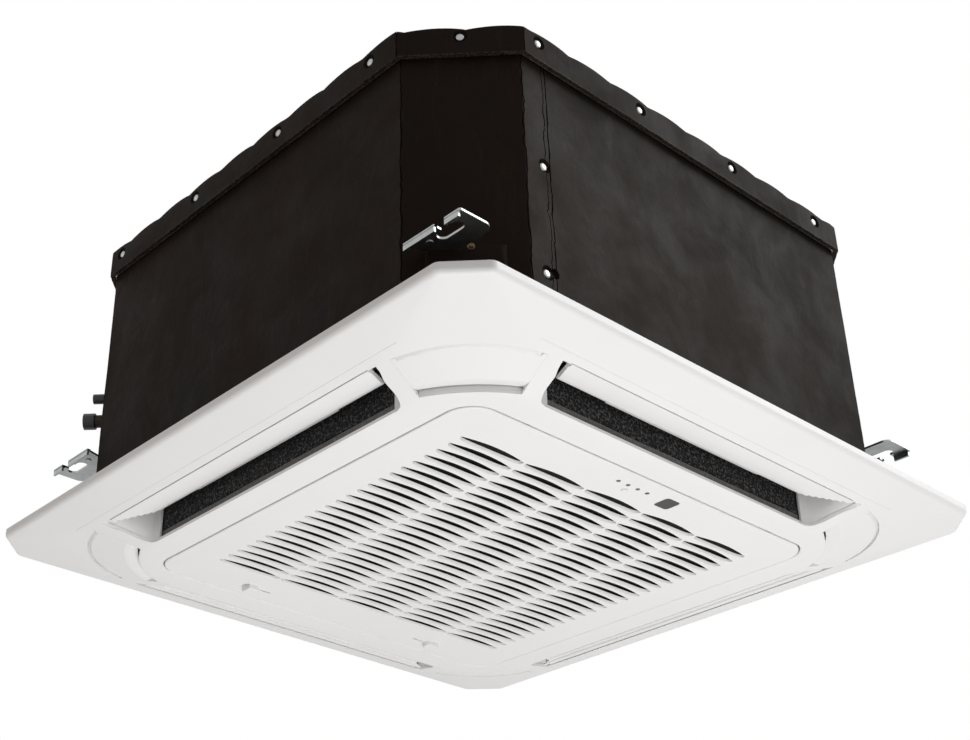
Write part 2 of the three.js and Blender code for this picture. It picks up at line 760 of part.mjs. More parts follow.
// A hanger bracket at the (+X -Y) corner. Its slot takes the ceiling rod through the
// open mouth in its turned-down lip.
function hangerBracket() {
  const reach = 2 * FOAM_HALF - FOAM_CHAMFER + FIT * SQRT2; // x - y on the chamfer face
  const low = HANGER_TOP - HANGER_THICKNESS;
  const outline = [
    point(reach - HANGER_OUT_Y, -HANGER_OUT_Y),
    ...arc(HANGER_OUT_X - 8, -HANGER_OUT_Y + 8, 8, -90, 0, 4),
    point(HANGER_OUT_X, -253),
    point(reach - 253, -253),
  ];
  const plate = prism(outline, low, HANGER_TOP);
  const lip = box(
    [220, HANGER_OUT_X - 8],
    [-HANGER_OUT_Y, -HANGER_OUT_Y + HANGER_THICKNESS],
    [HANGER_TOP - HANGER_LIP, HANGER_TOP],
  );
  const end = HANGER_SLOT_LENGTH / 2 - HANGER_SLOT_WIDTH / 2;
  const radius = HANGER_SLOT_WIDTH / 2;
  const slot = prism(
    [
      ...arc(HANGER_SLOT_X + end, -HANGER_SLOT_Y, radius, -90, 90, 6),
      ...arc(HANGER_SLOT_X - end, -HANGER_SLOT_Y, radius, 90, 270, 6),
    ],
    low - 1,
    HANGER_TOP + 1,
  );
  const mouth = box(
    [HANGER_MOUTH_X - HANGER_MOUTH / 2, HANGER_MOUTH_X + HANGER_MOUTH / 2],
    [-HANGER_OUT_Y - 1, -HANGER_SLOT_Y],
    [HANGER_TOP - HANGER_LIP - 1, HANGER_TOP + 1],
  );
  const distance = reach / SQRT2;
  const flange = box(
    [distance, distance + HANGER_THICKNESS],
    [-27, 27],
    [HANGER_TOP - 38, HANGER_TOP],
  ).rotateZ(radians(-45));
  return cut(join(plate, lip, flange), slot, mouth);
}

// ---------------------------------------------------------------- inside the body

function drainPan() {
  const block = prism(bodyOutline(shellHalf - SHELL_THICKNESS - FIT), PAN_BOTTOM, PAN_TOP, [
    arc(0, 0, 155, 360, 9, 39),
  ]);
  const duct = box(
    [-LINER_HALF, LINER_HALF],
    [-BODY_DUCT_OUT, -BODY_DUCT_IN],
    [0, PAN_TOP + 1],
  );
  const trough = prism(roundSquare(COIL_OUT + 4, 30), COIL_BOTTOM - 12, PAN_TOP + 1, [
    roundSquare(COIL_IN - 4, 20),
  ]);
  const seat = prism(roundSquare(COIL_OUT - 6, 26), COIL_BOTTOM - 13, COIL_BOTTOM - FIT, [
    roundSquare(COIL_IN + 6, 16),
  ]);
  const gate = box([-230, -COIL_GATE + 2], [-230, -COIL_GATE + 2], [0, 100]);
  const sump = box([-205, -158], [-205, -158], [COIL_BOTTOM - 12, PAN_TOP + 1]);
  return join(cut(block, ...fourWays(duct), trough, sump), cut(seat, gate));
}

function evaporatorCoil() {
  const ring = prism(roundSquare(COIL_OUT, 40), COIL_BOTTOM, COIL_TOP, [
    roundSquare(COIL_IN, 12),
  ]);
  const gate = box([-230, -COIL_GATE], [-230, -COIL_GATE], [0, 300]);
  const block = cut(ring, gate);
  const bends = [];
  for (let i = 0; i < 4; i++) {
    const z = COIL_BOTTOM + 30 + i * 44;
    bends.push(returnBend(-COIL_GATE + 1, -(COIL_OUT + COIL_IN) / 2, z, 0));
    bends.push(returnBend(-COIL_GATE + 1, (COIL_OUT + COIL_IN) / 2, z, QUARTER));
  }
  return join(block, ...bends);
}

// A hairpin bend of the coil's tube that stands out of the coil's cut end.
function returnBend(x, y, z, turn) {
  const reach = 16;
  const path = new THREE.CurvePath();
  const inner = new THREE.Vector3(x + 2, y, z);
  const start = new THREE.Vector3(x - reach + 10, y, z);
  const away = new THREE.Vector3(x - reach - 4, y, z);
  const back = new THREE.Vector3(x - reach - 4, y, z + 20);
  const finishPoint = new THREE.Vector3(x - reach + 10, y, z + 20);
  const outer = new THREE.Vector3(x + 2, y, z + 20);
  path.add(new THREE.LineCurve3(inner, start));
  path.add(new THREE.CubicBezierCurve3(start, away, back, finishPoint));
  path.add(new THREE.LineCurve3(finishPoint, outer));
  return bar(path, 3.5, 0, 7, 3).rotateZ(turn);
}

function coilEndPlate() {
  const low = -COIL_OUT - 2;
  const high = -COIL_IN + 2;
  const plate = box(
    [-COIL_GATE - 1.8, -COIL_GATE - FIT],
    [low, high],
    [COIL_BOTTOM - 10, COIL_TOP],
  );
  const holes = [];
  for (let i = 0; i < 4; i++) {
    const z = COIL_BOTTOM + 30 + i * 44;
    const y = -(COIL_OUT + COIL_IN) / 2;
    holes.push(box([-160, -140], [y - 4.2, y + 4.2], [z - 4.2, z + 24.2]));
  }
  return cut(plate, ...holes);
}

function bellMouth() {
  const sheet = 2.4;
  const profile = [
    point(195, BODY_BOTTOM),
    point(150, BODY_BOTTOM),
    point(132, BODY_BOTTOM + 8),
    point(122, BODY_BOTTOM + 24),
    point(THROAT_RADIUS, BODY_BOTTOM + 60),
    point(THROAT_RADIUS + sheet, BODY_BOTTOM + 60),
    point(122 + sheet, BODY_BOTTOM + 25),
    point(133.5, BODY_BOTTOM + 10),
    point(150.6, BODY_BOTTOM + sheet),
    point(195, BODY_BOTTOM + sheet - 0.1),
  ];
  return turned(profile, 36);
}

function fanImpeller() {
  const sheet = 3;
  const hub = turned([
    point(SHAFT_RADIUS + PLAY, 150),
    point(40, 150),
    point(80, FAN_TOP - sheet),
    point(FAN_RADIUS, FAN_TOP - sheet),
    point(FAN_RADIUS, FAN_TOP),
    point(78, FAN_TOP),
    point(38, 154),
    point(SHAFT_RADIUS + PLAY, 154),
  ]);
  const shroud = turned([
    point(124, FAN_BOTTOM),
    point(130, FAN_BOTTOM + 14),
    point(FAN_RADIUS, FAN_BOTTOM + 26),
    point(FAN_RADIUS, FAN_BOTTOM + 29),
    point(128, FAN_BOTTOM + 17),
    point(124 - 2.2, FAN_BOTTOM + 2),
  ]);
  const blades = [];
  for (let i = 0; i < FAN_BLADES; i++) {
    const blade = new THREE.Shape();
    blade.moveTo(92, 0);
    blade.quadraticCurveTo(128, 6, FAN_RADIUS - 4, 40);
    blade.lineTo(FAN_RADIUS - 8, 42);
    blade.quadraticCurveTo(122, 12, 90, 6);
    const turn = (2 * PI * i) / FAN_BLADES;
    blades.push(prism(blade.getPoints(5), FAN_BOTTOM + 22, FAN_TOP - 1).rotateZ(turn));
  }
  return join(hub, shroud, ...blades);
}

function fanMotor() {
  return turned(
    [
      point(0, 138),
      point(SHAFT_RADIUS, 138),
      point(SHAFT_RADIUS, 160),
      point(34, 160),
      point(34, 196),
      point(56, 202),
      point(56, 278.7),
      point(0, 278.7),
    ],
    32,
  );
}

function fanNut() {
  const hexagon = arc(0, 0, 9.5, 0, 300, 5);
  return prism(hexagon, 141, 149.7, [arc(0, 0, SHAFT_RADIUS + PLAY, 360, 20, 17)]);
}

function electricalBox() {
  const outer = box([140, 200], [-105, 105], [-14, BODY_BOTTOM - FIT]);
  const inside = box([141.5, 198.5], [-103.5, 103.5], [-15, BODY_BOTTOM - 2]);
  return cut(outer, inside);
}

// A tube that leaves the coil's end, turns and comes out through the chamfer.
function refrigerantPipe(radius, z, end, startY) {
  const start = new THREE.Vector3(-COIL_GATE - 4, startY, z);
  const bend = new THREE.Vector3(-COIL_GATE - 26, startY, z);
  const corner = new THREE.Vector3(-285 / SQRT2, -285 / SQRT2, z);
  const out = new THREE.Vector3(-end / SQRT2, -end / SQRT2, z);
  const path = new THREE.CurvePath();
  const knee = new THREE.Vector3(-COIL_GATE - 36, -COIL_GATE - 36, z);
  path.add(new THREE.CubicBezierCurve3(start, bend, knee, corner));
  path.add(new THREE.LineCurve3(corner, out));
  return bar(path, radius, radius - 1, 8, 5);
}

function pipeCap(radius, z, end) {
  const profile = [
    point(radius + 0.3, end - 9),
    point(radius + 1.8, end - 9),
    point(radius + 1.8, end + 2),
    point(0, end + 2),
    point(0, end + 0.3),
    point(radius + 0.3, end + 0.3),
  ];
  const cup = new THREE.LatheGeometry([...profile, profile[0]], 20).rotateZ(-QUARTER);
  return ontoPipeCorner(cup.translate(0, 0, z));
}

function drainOutlet() {
  const wall = rodAlongX(12.5, -311, -240, -150, 215, 20);
  return cut(wall, rodAlongX(10.5, -320, -230, -150, 215, 20));
}

function drainPump() {
  const body = rod(20, COIL_BOTTOM + 8, COIL_BOTTOM + 48, -182, -182, 20);
  const stem = rod(9, PAN_TOP - 17.5, COIL_BOTTOM + 9, -182, -182, 12);
  return join(body, stem);
}

// ---------------------------------------------------------------- assembly

model.add(
  piece("cabinet_shell", cabinetShell(), zincSteel()),
  piece("side_insulation", sideInsulation(), blackFoam()),
  piece("top_plate", topPlate(), zincSteel()),
  piece("top_insulation", topInsulation(), blackFoam()),
  piece("drain_pan", drainPan(), whiteFoam()),
  piece("evaporator_coil", evaporatorCoil(), finish(0xb4bcc0, 0.4, 1)),
  piece("bell_mouth", bellMouth(), blackPlastic()),
  piece("fan_impeller", fanImpeller(), finish(0x2a2c2e, 0.5)),
  piece("fan_nut", fanNut(), zincSteel()),
  piece("fan_motor", fanMotor(), finish(0x55585a, 0.5, 0.8)),
  piece("motor_plate", rod(78, 279, BODY_TOP, 0, 0, 32), zincSteel()),
  piece("electrical_box", electricalBox(), zincSteel()),
  piece("electrical_box_lid", box([140, 200], [-105, 105], [-16, -14.3]), zincSteel()),
  piece("drain_pump", drainPump(), blackPlastic()),
  piece("drain_outlet", drainOutlet(), finish(0xd8d6d0, 0.5)),
  piece("panel_frame", panelFrame(), whitePlastic()),
  piece("panel_seal", panelSeal(), blackFoam()),
);

// The second end plate mirrors the first across the diagonal of the open corner.
const endPlates = new THREE.Group();
endPlates.add(piece("coil_end_plate_1", coilEndPlate(), zincSteel()));
const turnedPlate = piece("coil_end_plate_2", coilEndPlate(), zincSteel());
turnedPlate.scale.y = -1;
turnedPlate.rotation.z = QUARTER;
endPlates.add(turnedPlate);
model.add(endPlates);

const gasEnd = 378;
const liquidEnd = 371;
model.add(
  piece("gas_pipe", refrigerantPipe(GAS_PIPE_RADIUS, GAS_PIPE_Z, gasEnd, -209), copper()),
  piece("liquid_pipe", refrigerantPipe(LIQUID_PIPE_RADIUS, LIQUID_PIPE_Z, liquidEnd, -193), copper()),
  piece("gas_pipe_cap", pipeCap(GAS_PIPE_RADIUS, GAS_PIPE_Z, gasEnd), blackPlastic()),
  piece("liquid_pipe_cap", pipeCap(LIQUID_PIPE_RADIUS, LIQUID_PIPE_Z, liquidEnd), blackPlastic()),
);

for (let i = 0; i < 4; i++) {
  const side = quarterGroup(i);
  const vane = piece(`flap_${i + 1}`, flap(), whitePlastic());
  vane.position.set(0, -PIVOT_OUT, PIVOT_Z);
  vane.rotation.x = radians(FLAP_REST);
  side.add(
    vane,
    piece(`flap_motor_${i + 1}`, flapMotor(), finish(0xd5d3cd, 0.5)),
    piece(`outlet_liner_${i + 1}`, outletLiner(), blackFoam()),
    piece(`corner_cover_${i + 1}`, cornerCover(), whitePlastic()),
  );
}

// The brackets all lie the same way on their plates, so opposite ones are mirrored.
[
  [1, 1],
  [1, -1],
  [-1, -1],
  [-1, 1],
].forEach(([x, y], i) => {
  const bracket = piece(`hanger_bracket_${i + 1}`, hangerBracket(), zincSteel());
  bracket.scale.set(x, y, 1);
  model.add(bracket);
});

model.add(
  piece("intake_grille", intakeGrille(), whitePlastic()),
  piece("air_filter", airFilter(), finish(0x3a3c3e, 0.6)),
  piece("filter_net", filterNet(), finish(0x4a4c4c, 0.8)),
  piece("grille_latch_1", grilleLatch(-1), whitePlastic()),
  piece("grille_latch_2", grilleLatch(1), whitePlastic()),
  piece("display_board", displayBoard(), finish(0x1f5a3a, 0.5)),
  piece("receiver_window", prism(windowOutline(WINDOW_HALF), GRILLE_FACE_Z + 0.2, -30.1), blackPlastic()),
  piece("test_button", rod(BUTTON_RADIUS, -33.7, -30.6, BUTTON_X, BUTTON_Y, 16), whitePlastic()),
);

lightPlaces().forEach(([x, y], i) => {
  const colors = [0xb5322c, 0xb5322c, 0x8a8a2c, 0x23422c];
  const light = rod(LIGHT_RADIUS, -33.5, -30.1, x, y, 12);
  model.add(piece(`status_light_${i + 1}`, light, finish(colors[i], 0.3)));
});

[-HINGE_Y, HINGE_Y].forEach((y, i) => {
  const reach = EAR_OFFSET + EAR_HALF - 0.2;
  const pin = rodAlongY(HINGE_PIN_RADIUS, y - reach, y + reach, HINGE_X, HINGE_Z);
  model.add(piece(`grille_hinge_pin_${i + 1}`, pin, zincSteel()));
});

export default model;
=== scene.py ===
"""A compact four-way ceiling cassette air conditioner.

The add-on builds the fine surfaces, materials, light and camera around the unit's
CAD frame. Lengths are in metres, +Z is up, and the origin is the centre of the
decoration panel in the plane of the ceiling. The four sides are numbered 1 front (-Y),
2 right (+X), 3 back (+Y), 4 left (-X), and the corners 1 (+X -Y) to 4 (-X -Y).
"""

import json
import math

import bmesh
import bpy
from bpy.props import FloatProperty, FloatVectorProperty, IntProperty, PointerProperty
from mathutils import Matrix, Vector, noise


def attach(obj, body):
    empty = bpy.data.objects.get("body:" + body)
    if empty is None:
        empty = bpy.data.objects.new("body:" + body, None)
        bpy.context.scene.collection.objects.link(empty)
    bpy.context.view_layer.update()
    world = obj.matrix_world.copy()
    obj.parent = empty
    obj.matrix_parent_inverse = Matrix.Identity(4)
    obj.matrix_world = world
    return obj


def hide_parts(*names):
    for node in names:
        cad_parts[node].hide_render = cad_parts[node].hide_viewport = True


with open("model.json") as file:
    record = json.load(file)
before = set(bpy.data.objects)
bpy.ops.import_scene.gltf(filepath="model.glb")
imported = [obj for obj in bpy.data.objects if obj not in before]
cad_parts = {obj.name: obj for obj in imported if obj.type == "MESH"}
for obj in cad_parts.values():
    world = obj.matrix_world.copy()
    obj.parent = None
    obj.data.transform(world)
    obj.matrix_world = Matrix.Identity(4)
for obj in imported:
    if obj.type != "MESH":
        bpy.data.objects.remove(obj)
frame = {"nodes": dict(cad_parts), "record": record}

bl_info = {
    "name": "Ceiling cassette air conditioner",
    "version": (1, 0, 0),
    "blender": (4, 5, 0),
    "location": "3D View > Sidebar > Cassette",
    "description": "Builds the visible pieces of a four-way ceiling cassette unit",
    "category": "Object",
}

QUARTER = math.pi / 2
SIDES = (1, 2, 3, 4)
DUCT_HEIGHTS = (-0.022, -0.016, -0.010, -0.004, 0.002, 0.008, 0.013, 0.0165)
FIN_TURNS = 4200.0  # radians of the coil's fin wave in a metre
PIN_HOLE = 0.00135  # radius of the hole in a hinge lug
TRACK_ROOM = 18  # degrees of the track beyond each end of the pin's way
MIRRORS = ((1, 1), (1, -1), (-1, -1), (-1, 1))  # from the first corner to all four
CORNER_STEPS = 23  # odd, so that a chamfered corner has as many points as a round one


# The camera, fitted to the panel's and the body's corners.
CAMERA_PLACE = (0.93667, -0.92501, -0.59688)
CAMERA_RIGHT = (0.65088, 0.75918, 0.0)
CAMERA_UP = (0.38143, -0.32702, 0.86463)
CAMERA_ROLL = math.radians(0.39)

# Each lamp: name, place, what it is aimed at, side, power in watts, colour.
LAMPS = (
    ("key_below", (0.52, -0.06, -1.35), (0, 0, 0), 1.5, 20.5, (1.0, 1.0, 1.0)),
    ("sheen_right", (1.5, 1.15, 1.3), (0.28, 0, 0.12), 1.6, 40, (1.0, 1.0, 1.0)),
    ("warm_front", (-0.7, -2.3, 0.3), (0, -0.3, 0), 1.4, 6, (1.0, 0.78, 0.62)),
)
FLOOR_HALF = 20.0
FLOOR_GLOW = 0.8  # how much of the floor's look is plain white, so that shadows stay faint


# ---------------------------------------------------------------- sizes and colours


def length(name, text, value):
    """A length in metres, shown in the scene's units."""
    return FloatProperty(name=name, description=text, default=value, unit="LENGTH")


def degrees(name, text, value):
    """An angle, given in degrees and kept in radians."""
    turn = math.radians(value)
    return FloatProperty(name=name, description=text, default=turn, unit="ROTATION")


def count(name, text, value):
    """A whole number of repeats."""
    return IntProperty(name=name, description=text, default=value, min=1)


def colour(name, text, value):
    """A linear colour."""
    return FloatVectorProperty(
        name=name, description=text, default=value, size=3, subtype="COLOR", min=0, max=1
    )


class PanelSizes(bpy.types.PropertyGroup):
    half: length("Half width", "From the centre to the rim", 0.3235)
    chamfer: length("Corner chamfer", "How much of each side the corner takes", 0.029)
    rim_radius: length("Rim radius", "Rounding where the chamfer meets a side", 0.008)
    rim_wall: length("Rim wall", "Thickness of the upright rim", 0.004)
    rim_depth: length("Rim depth", "From the ceiling to the foot of the rim", 0.010)
    depth: length("Depth", "From the ceiling to the flat underside", 0.033)
    skin: length("Skin", "Thickness of the moulding", 0.0026)
    slope_half: length("Slope start", "Half width where the slope begins", 0.3193)
    round_half: length("Round slope", "Half width where the corners are round", 0.2845)
    round_radius: length("Round radius", "Corner radius at that width", 0.099)
    round_depth: length("Round depth", "Depth of the slope at that width", 0.01995)
    flat_half: length("Flat half width", "Half width of the flat underside", 0.234)
    flat_radius: length("Flat radius", "Corner radius of the flat underside", 0.067)
    recess_half: length("Grille recess", "Half width of the grille's opening", 0.2124)
    recess_radius: length("Recess radius", "Corner radius of that opening", 0.0261)
    top: length("Top", "Height of the ducts above the ceiling", 0.017)
    deck: length("Deck", "Thickness of the plate round the ducts", 0.003)
    collar_half: length("Collar half width", "Half width of the upright collar", 0.292)
    collar_chamfer: length("Collar chamfer", "Corner chamfer of the collar", 0.074)
    collar_wall: length("Collar wall", "Thickness of the collar", 0.0025)
    ledge_half: length("Ledge", "Half width inside the ledge over the grille", 0.203)
    ledge_depth: length("Ledge depth", "From the ceiling to the ledge", 0.0195)


class OutletSizes(bpy.types.PropertyGroup):
    out: length("Outer edge", "From the centre to the outer edge", 0.2845)
    inner: length("Inner edge", "From the centre to the inner edge", 0.241)
    half_out: length("Outer half length", "Half length of the outer edge", 0.188)
    half_in: length("Inner half length", "Half length of the inner edge", 0.1625)
    top_half: length("Top half length", "Half length at the top of the duct", 0.1595)
    top_out: length("Top outer edge", "Outer edge at the top of the duct", 0.271)
    scoop_depth: length("Scoop foot", "Depth where the hollow end walls begin", 0.022)
    wall: length("Duct wall", "Thickness of the duct", 0.0023)
    liner_half: length("Liner half length", "Half length of the foam liner", 0.1585)
    liner_thickness: length("Liner thickness", "Thickness of the foam liner", 0.0024)
    liner_inset: length("Liner inset", "How far the liner sits behind the inner edge", 0.0030)
    liner_foot: length("Liner foot", "Depth of the liner's lower edge", 0.0292)
    liner_edge: length("Liner edge", "Height of the liner's cut edge", 0.0072)


class CoverSizes(bpy.types.PropertyGroup):
    outer_centre: length("Outer arc centre", "Along both axes", 0.185)
    outer_radius: length("Outer arc radius", "The cover's outer edge", 0.098)
    inner_centre: length("Inner arc centre", "Along both axes", 0.146)
    inner_radius: length("Inner arc radius", "The cover's inner edge", 0.1045)
    pocket_width: length("Pocket width", "Width of the finger pocket", 0.0132)
    pocket_depth: length("Pocket depth", "Depth of the finger pocket", 0.0062)
    pocket_wall: length("Pocket wall", "Thickness of the sheet that forms the pocket", 0.0018)
    groove_width: length("Groove width", "Width of the sunk band along the outer arc", 0.0036)
    groove_depth: length("Groove depth", "Depth of that band at the arc", 0.0023)
    gap: length("Gap", "Gap between the cover and the panel", 0.0002)


class FlapSizes(bpy.types.PropertyGroup):
    pivot_out: length("Pivot", "From the centre to the pivot line", 0.282)
    pivot_depth: length("Pivot depth", "From the ceiling to the pivot line", 0.017)
    rest: degrees("Rest angle", "Tilt with the unit switched off", 21)
    width: length("Width", "Width of the middle stretch", 0.041)
    end_width: length("End width", "Width beside the middle stretch", 0.0385)
    half_out: length("Outer half length", "Half length at the pivot", 0.176)
    half_in: length("Inner half length", "Half length at the inner edge", 0.1495)
    step_half: length("Middle half length", "Half length of the wider stretch", 0.095)
    thickness: length("Thickness", "Thickness of the flap", 0.0024)
    below_pivot: length("Below the pivot", "From the pivot line to the underside", 0.003)
    ribs: count("Ribs", "Ribs along the underside", 7)
    rib_pitch: length("Rib pitch", "From one rib to the next", 0.0048)
    rib_height: length("Rib height", "How far a rib stands out", 0.0010)
    rib_step: length("Rib step", "Width of the step down from each rib", 0.0014)
    pin_radius: length("Pin radius", "Radius of the pivot pins", 0.0016)
    pin_end: length("Pin end", "Half length to the tip of a pin", 0.193)


class GrilleSizes(bpy.types.PropertyGroup):
    half: length("Half width", "From the centre to the edge", 0.2113)
    radius: length("Corner radius", "Radius of the corners", 0.025)
    face_depth: length("Face", "From the ceiling to the face", 0.0333)
    top_depth: length("Top", "From the ceiling to the top of the walls", 0.024)
    wall: length("Wall", "Thickness of the upright walls", 0.0025)
    floor: length("Floor", "Thickness of the face", 0.0026)
    rows: count("Rows", "Rows of slots", 24)
    columns: count("Columns", "Slots in a row", 5)
    row_pitch: length("Row pitch", "From one row to the next", 0.0139)
    column_pitch: length("Column pitch", "From one column to the next", 0.0712)
    first_x: length("First row", "Where the first row's tips lie", 0.1654)
    first_y: length("First column", "Where the first column's middle lies", -0.1424)
    slot_half: length("Slot half length", "From the middle to a tip", 0.0346)
    outer_bow: length("Outer bow", "Bow of the sharp edge", 0.0042)
    scoop: length("Scoop", "Width of the sloping side at the face", 0.0062)
    throat: length("Throat", "Width of the sloping side at the back", 0.0045)
    lip: length("Lip", "Rounding round each slot", 0.0003)
    swing_x: length("Swing centre", "Where the grille's turning line lies along X", 0.206)
    swing_depth: length("Swing depth", "From the ceiling to the turning line", 0.0328)
    track_radius: length("Track radius", "From the turning line to the hinge pins", 0.005)
    track_start: degrees("Track start", "Where the pin sits in its track at rest", 130)
    track_range: degrees("Track range", "How far the grille swings", 85)
    track_half: length("Track half width", "Half width of the curved track", 0.0014)
    ear_radius: length("Ear radius", "Radius of the round ears", 0.0081)
    ear_half: length("Ear half thickness", "Half thickness of an ear", 0.002)
    ear_offset: length("Ear offset", "From a lug's middle to an ear's middle", 0.0056)
    pin_half: length("Pin half length", "Half length of a hinge pin", 0.0085)
    lug_radius: length("Lug radius", "Radius of the lugs round the pins", 0.0021)
    lug_half: length("Lug half thickness", "Half thickness of a lug", 0.0028)
    hinge_y: length("Hinge place", "Half distance between the hinge pins", 0.150)
    latch_x: length("Latch place", "Where the latches lie along X", -0.1905)
    latch_y: length("Latch offset", "Half distance between the latches", 0.117)
    latch_radius: length("Latch radius", "Radius of the round end of a latch's tab", 0.0062)
    latch_height: length("Latch height", "How far a latch's tab stands out", 0.0042)
    latch_slot: length("Latch slot", "Width of the slot that a latch slides in", 0.0015)
    light_x: length("Lights", "Where the status lights lie along X", 0.194)
    light_y: length("First light", "Where the first light lies along Y", -0.0267)
    light_pitch: length("Light pitch", "From one light to the next", 0.0119)
    light_radius: length("Light radius", "Radius of a light's hole", 0.0020)
    button_x: length("Button x", "Where the test button lies along X", 0.1856)
    button_y: length("Button y", "Where the test button lies along Y", -0.0099)
    button_radius: length("Button radius", "Radius of the button's hole", 0.0029)
    window_x: length("Window x", "Where the receiver window lies along X", 0.1914)
    window_y: length("Window y", "Where the receiver window lies along Y", 0.0373)
    window_half: length("Window half", "Half width of the window's hole", 0.0085)


class BodySizes(bpy.types.PropertyGroup):
    foam_half: length("Body half width", "From the centre to the foam", 0.2816)
    foam_chamfer: length("Body chamfer", "Corner chamfer of the foam", 0.0689)
    foam: length("Foam", "Thickness of the foam jacket", 0.0034)
    bottom: length("Bottom", "Height of the jacket's foot", 0.022)
    top: length("Top", "Height of the jacket's top", 0.270)
    corner: length("Corner radius", "How softly the foam turns a corner", 0.0025)
    waviness: length("Waviness", "How unevenly the foam lies", 0.0005)
    band_half: length("Band half width", "From the centre to the top band", 0.288)
    band_chamfer: length("Band chamfer", "Corner chamfer of the top band", 0.0737)
    band: length("Band foam", "Thickness of the top band", 0.0042)
    band_bottom: length("Band foot", "Height of the band's lower edge", 0.2567)
    band_top: length("Band top", "Height of the band's upper edge", 0.286)
    scallop: length("Scallop", "Length of one wave of the upper edge", 0.0503)
    scallop_depth: length("Scallop depth", "Depth of that wave", 0.0036)
    seam: length("Seam", "Width of the butt seams", 0.0009)
    seam_y: length("Seam place", "Where the side seam lies along Y", -0.1857)


class ScrewSizes(bpy.types.PropertyGroup):
    head_radius: length("Head radius", "Radius of a pan head", 0.0037)
    head_height: length("Head height", "Height of a pan head", 0.0021)
    cross_width: length("Cross width", "Width of the cross recess", 0.0011)
    cross_half: length("Cross half length", "Half length of the cross recess", 0.0022)
    dent_radius: length("Dent radius", "Radius of the dent in the foam", 0.0068)
    dent_depth: length("Dent depth", "Depth of the dent in the foam", 0.0024)
    band_height: length("Band screws", "Height of the screws in the band", 0.2755)


class BracketSizes(bpy.types.PropertyGroup):
    top: length("Top", "Height of the plate's upper side", 0.0685)
    thickness: length("Thickness", "Thickness of the sheet", 0.002)
    out_x: length("Reach along X", "From the centre to the plate's side edge", 0.284)
    out_y: length("Reach along Y", "From the centre to the plate's lipped edge", 0.288)
    free_x: length("Lip start", "Where the lipped edge starts along X", 0.222)
    back_y: length("Back edge", "From the centre to the plate's back edge", 0.253)
    corner: length("Corner radius", "Rounding of the plate's free corner", 0.009)
    lip: length("Lip", "Height of the turned-down lip", 0.0065)
    slot_x: length("Slot x", "Where the rod slot's middle lies along X", 0.260)
    slot_y: length("Slot y", "Where the rod slot's middle lies along Y", 0.2752)
    slot_half: length("Slot half length", "Half length of the rod slot", 0.013)
    slot_radius: length("Slot radius", "Half width of the rod slot", 0.00525)
    mouth_x: length("Mouth", "Where the slot's mouth lies along X", 0.2615)
    mouth_half: length("Mouth half width", "Half width of the mouth", 0.0055)
    foot: length("Foot", "How far the foot hangs below the plate", 0.038)
    foot_half: length("Foot half width", "Half width of the foot", 0.027)
    patch: length("Patch", "Thickness of the foam patch over the foot", 0.0012)
    bolt_radius: length("Bolt radius", "Radius of the bolt head beside the plate", 0.0020)


class Finishes(bpy.types.PropertyGroup):
    white_plastic: colour("White plastic", "Satin white moulding", (0.775, 0.765, 0.757))
    grey_plastic: colour("Grey plastic", "Light grey moulding", (0.56, 0.55, 0.52))
    foam: colour("Black foam", "Closed-cell foam sheet", (0.0076, 0.0047, 0.0032))
    cut_foam: colour("Cut foam", "The cut edge of the foam", (0.050, 0.037, 0.027))
    liner: colour("Liner", "Open-cell foam in an outlet", (0.0045, 0.0045, 0.0052))
    # The grey of the strip along the foot of each outlet's liner.
    liner_edge: colour("Liner edge", "The grey cut edge in an outlet", (0.120, 0.118, 0.115))
    bronze: colour("Bronze", "Yellow-passivated bolt head", (0.10, 0.065, 0.035))
    dark_pipe: colour("Dark pipe", "Tarnished brass and copper", (0.035, 0.028, 0.022))
    # Painted shade: the net behind the slots is made near black so that the slots look as dark as the
    # shaded inside of the unit.
    net: colour("Net", "The dark net behind the slots", (0.002, 0.002, 0.002))
    zinc: colour("Zinc", "Zinc-plated sheet", (0.37, 0.385, 0.385))
    copper: colour("Copper", "Drawn copper tube", (0.72, 0.38, 0.24))
    black_plastic: colour("Black plastic", "Satin black moulding", (0.02, 0.02, 0.022))
    bead_foam: colour("Bead foam", "Expanded white foam", (0.80, 0.80, 0.77))
    fins: colour("Fins", "Pressed aluminium", (0.66, 0.68, 0.70))
    board: colour("Board", "Lacquered circuit board", (0.02, 0.10, 0.045))
    motor: colour("Motor", "Dark grey enamel", (0.09, 0.095, 0.10))
    red: colour("Red light", "Tinted clear plastic", (0.060, 0.008, 0.007))
    yellow: colour("Yellow light", "Tinted clear plastic", (0.060, 0.055, 0.014))
    green: colour("Green light", "Tinted clear plastic", (0.010, 0.022, 0.013))


class StageSizes(bpy.types.PropertyGroup):
    floor_height: FloatProperty(
        name="Floor height",
        description="Height of the floor, as far down as in a room",
        default=-2.6,
        unit="LENGTH",
    )
    lens: FloatProperty(
        name="Lens", description="Focal length in millimetres", default=57.70, min=1
    )
    shift: FloatProperty(
        name="Shift", description="Sideways lens shift as a share of the width", default=0.111
    )


class CassetteSettings(bpy.types.PropertyGroup):
    panel: PointerProperty(type=PanelSizes)
    outlet: PointerProperty(type=OutletSizes)
    cover: PointerProperty(type=CoverSizes)
    flap: PointerProperty(type=FlapSizes)
    grille: PointerProperty(type=GrilleSizes)
    body: PointerProperty(type=BodySizes)
    screw: PointerProperty(type=ScrewSizes)
    bracket: PointerProperty(type=BracketSizes)
    finish: PointerProperty(type=Finishes)
    stage: PointerProperty(type=StageSizes)


# ---------------------------------------------------------------- outlines and skins


def arc(x, y, radius, start, end, steps):
    """Points along an arc, its angles in degrees."""
    points = []
    for i in range(steps + 1):
        angle = math.radians(start + (end - start) * i / steps)
        points.append(Vector((x + radius * math.cos(angle), y + radius * math.sin(angle))))
    return points


def around(corner):
    """A whole outline from its (+X +Y) corner, turned through the four quarters."""
    outline = []
    for quarter in range(4):
        turn = Matrix.Rotation(quarter * QUARTER, 2)
        outline += [turn @ p for p in corner]
    return outline


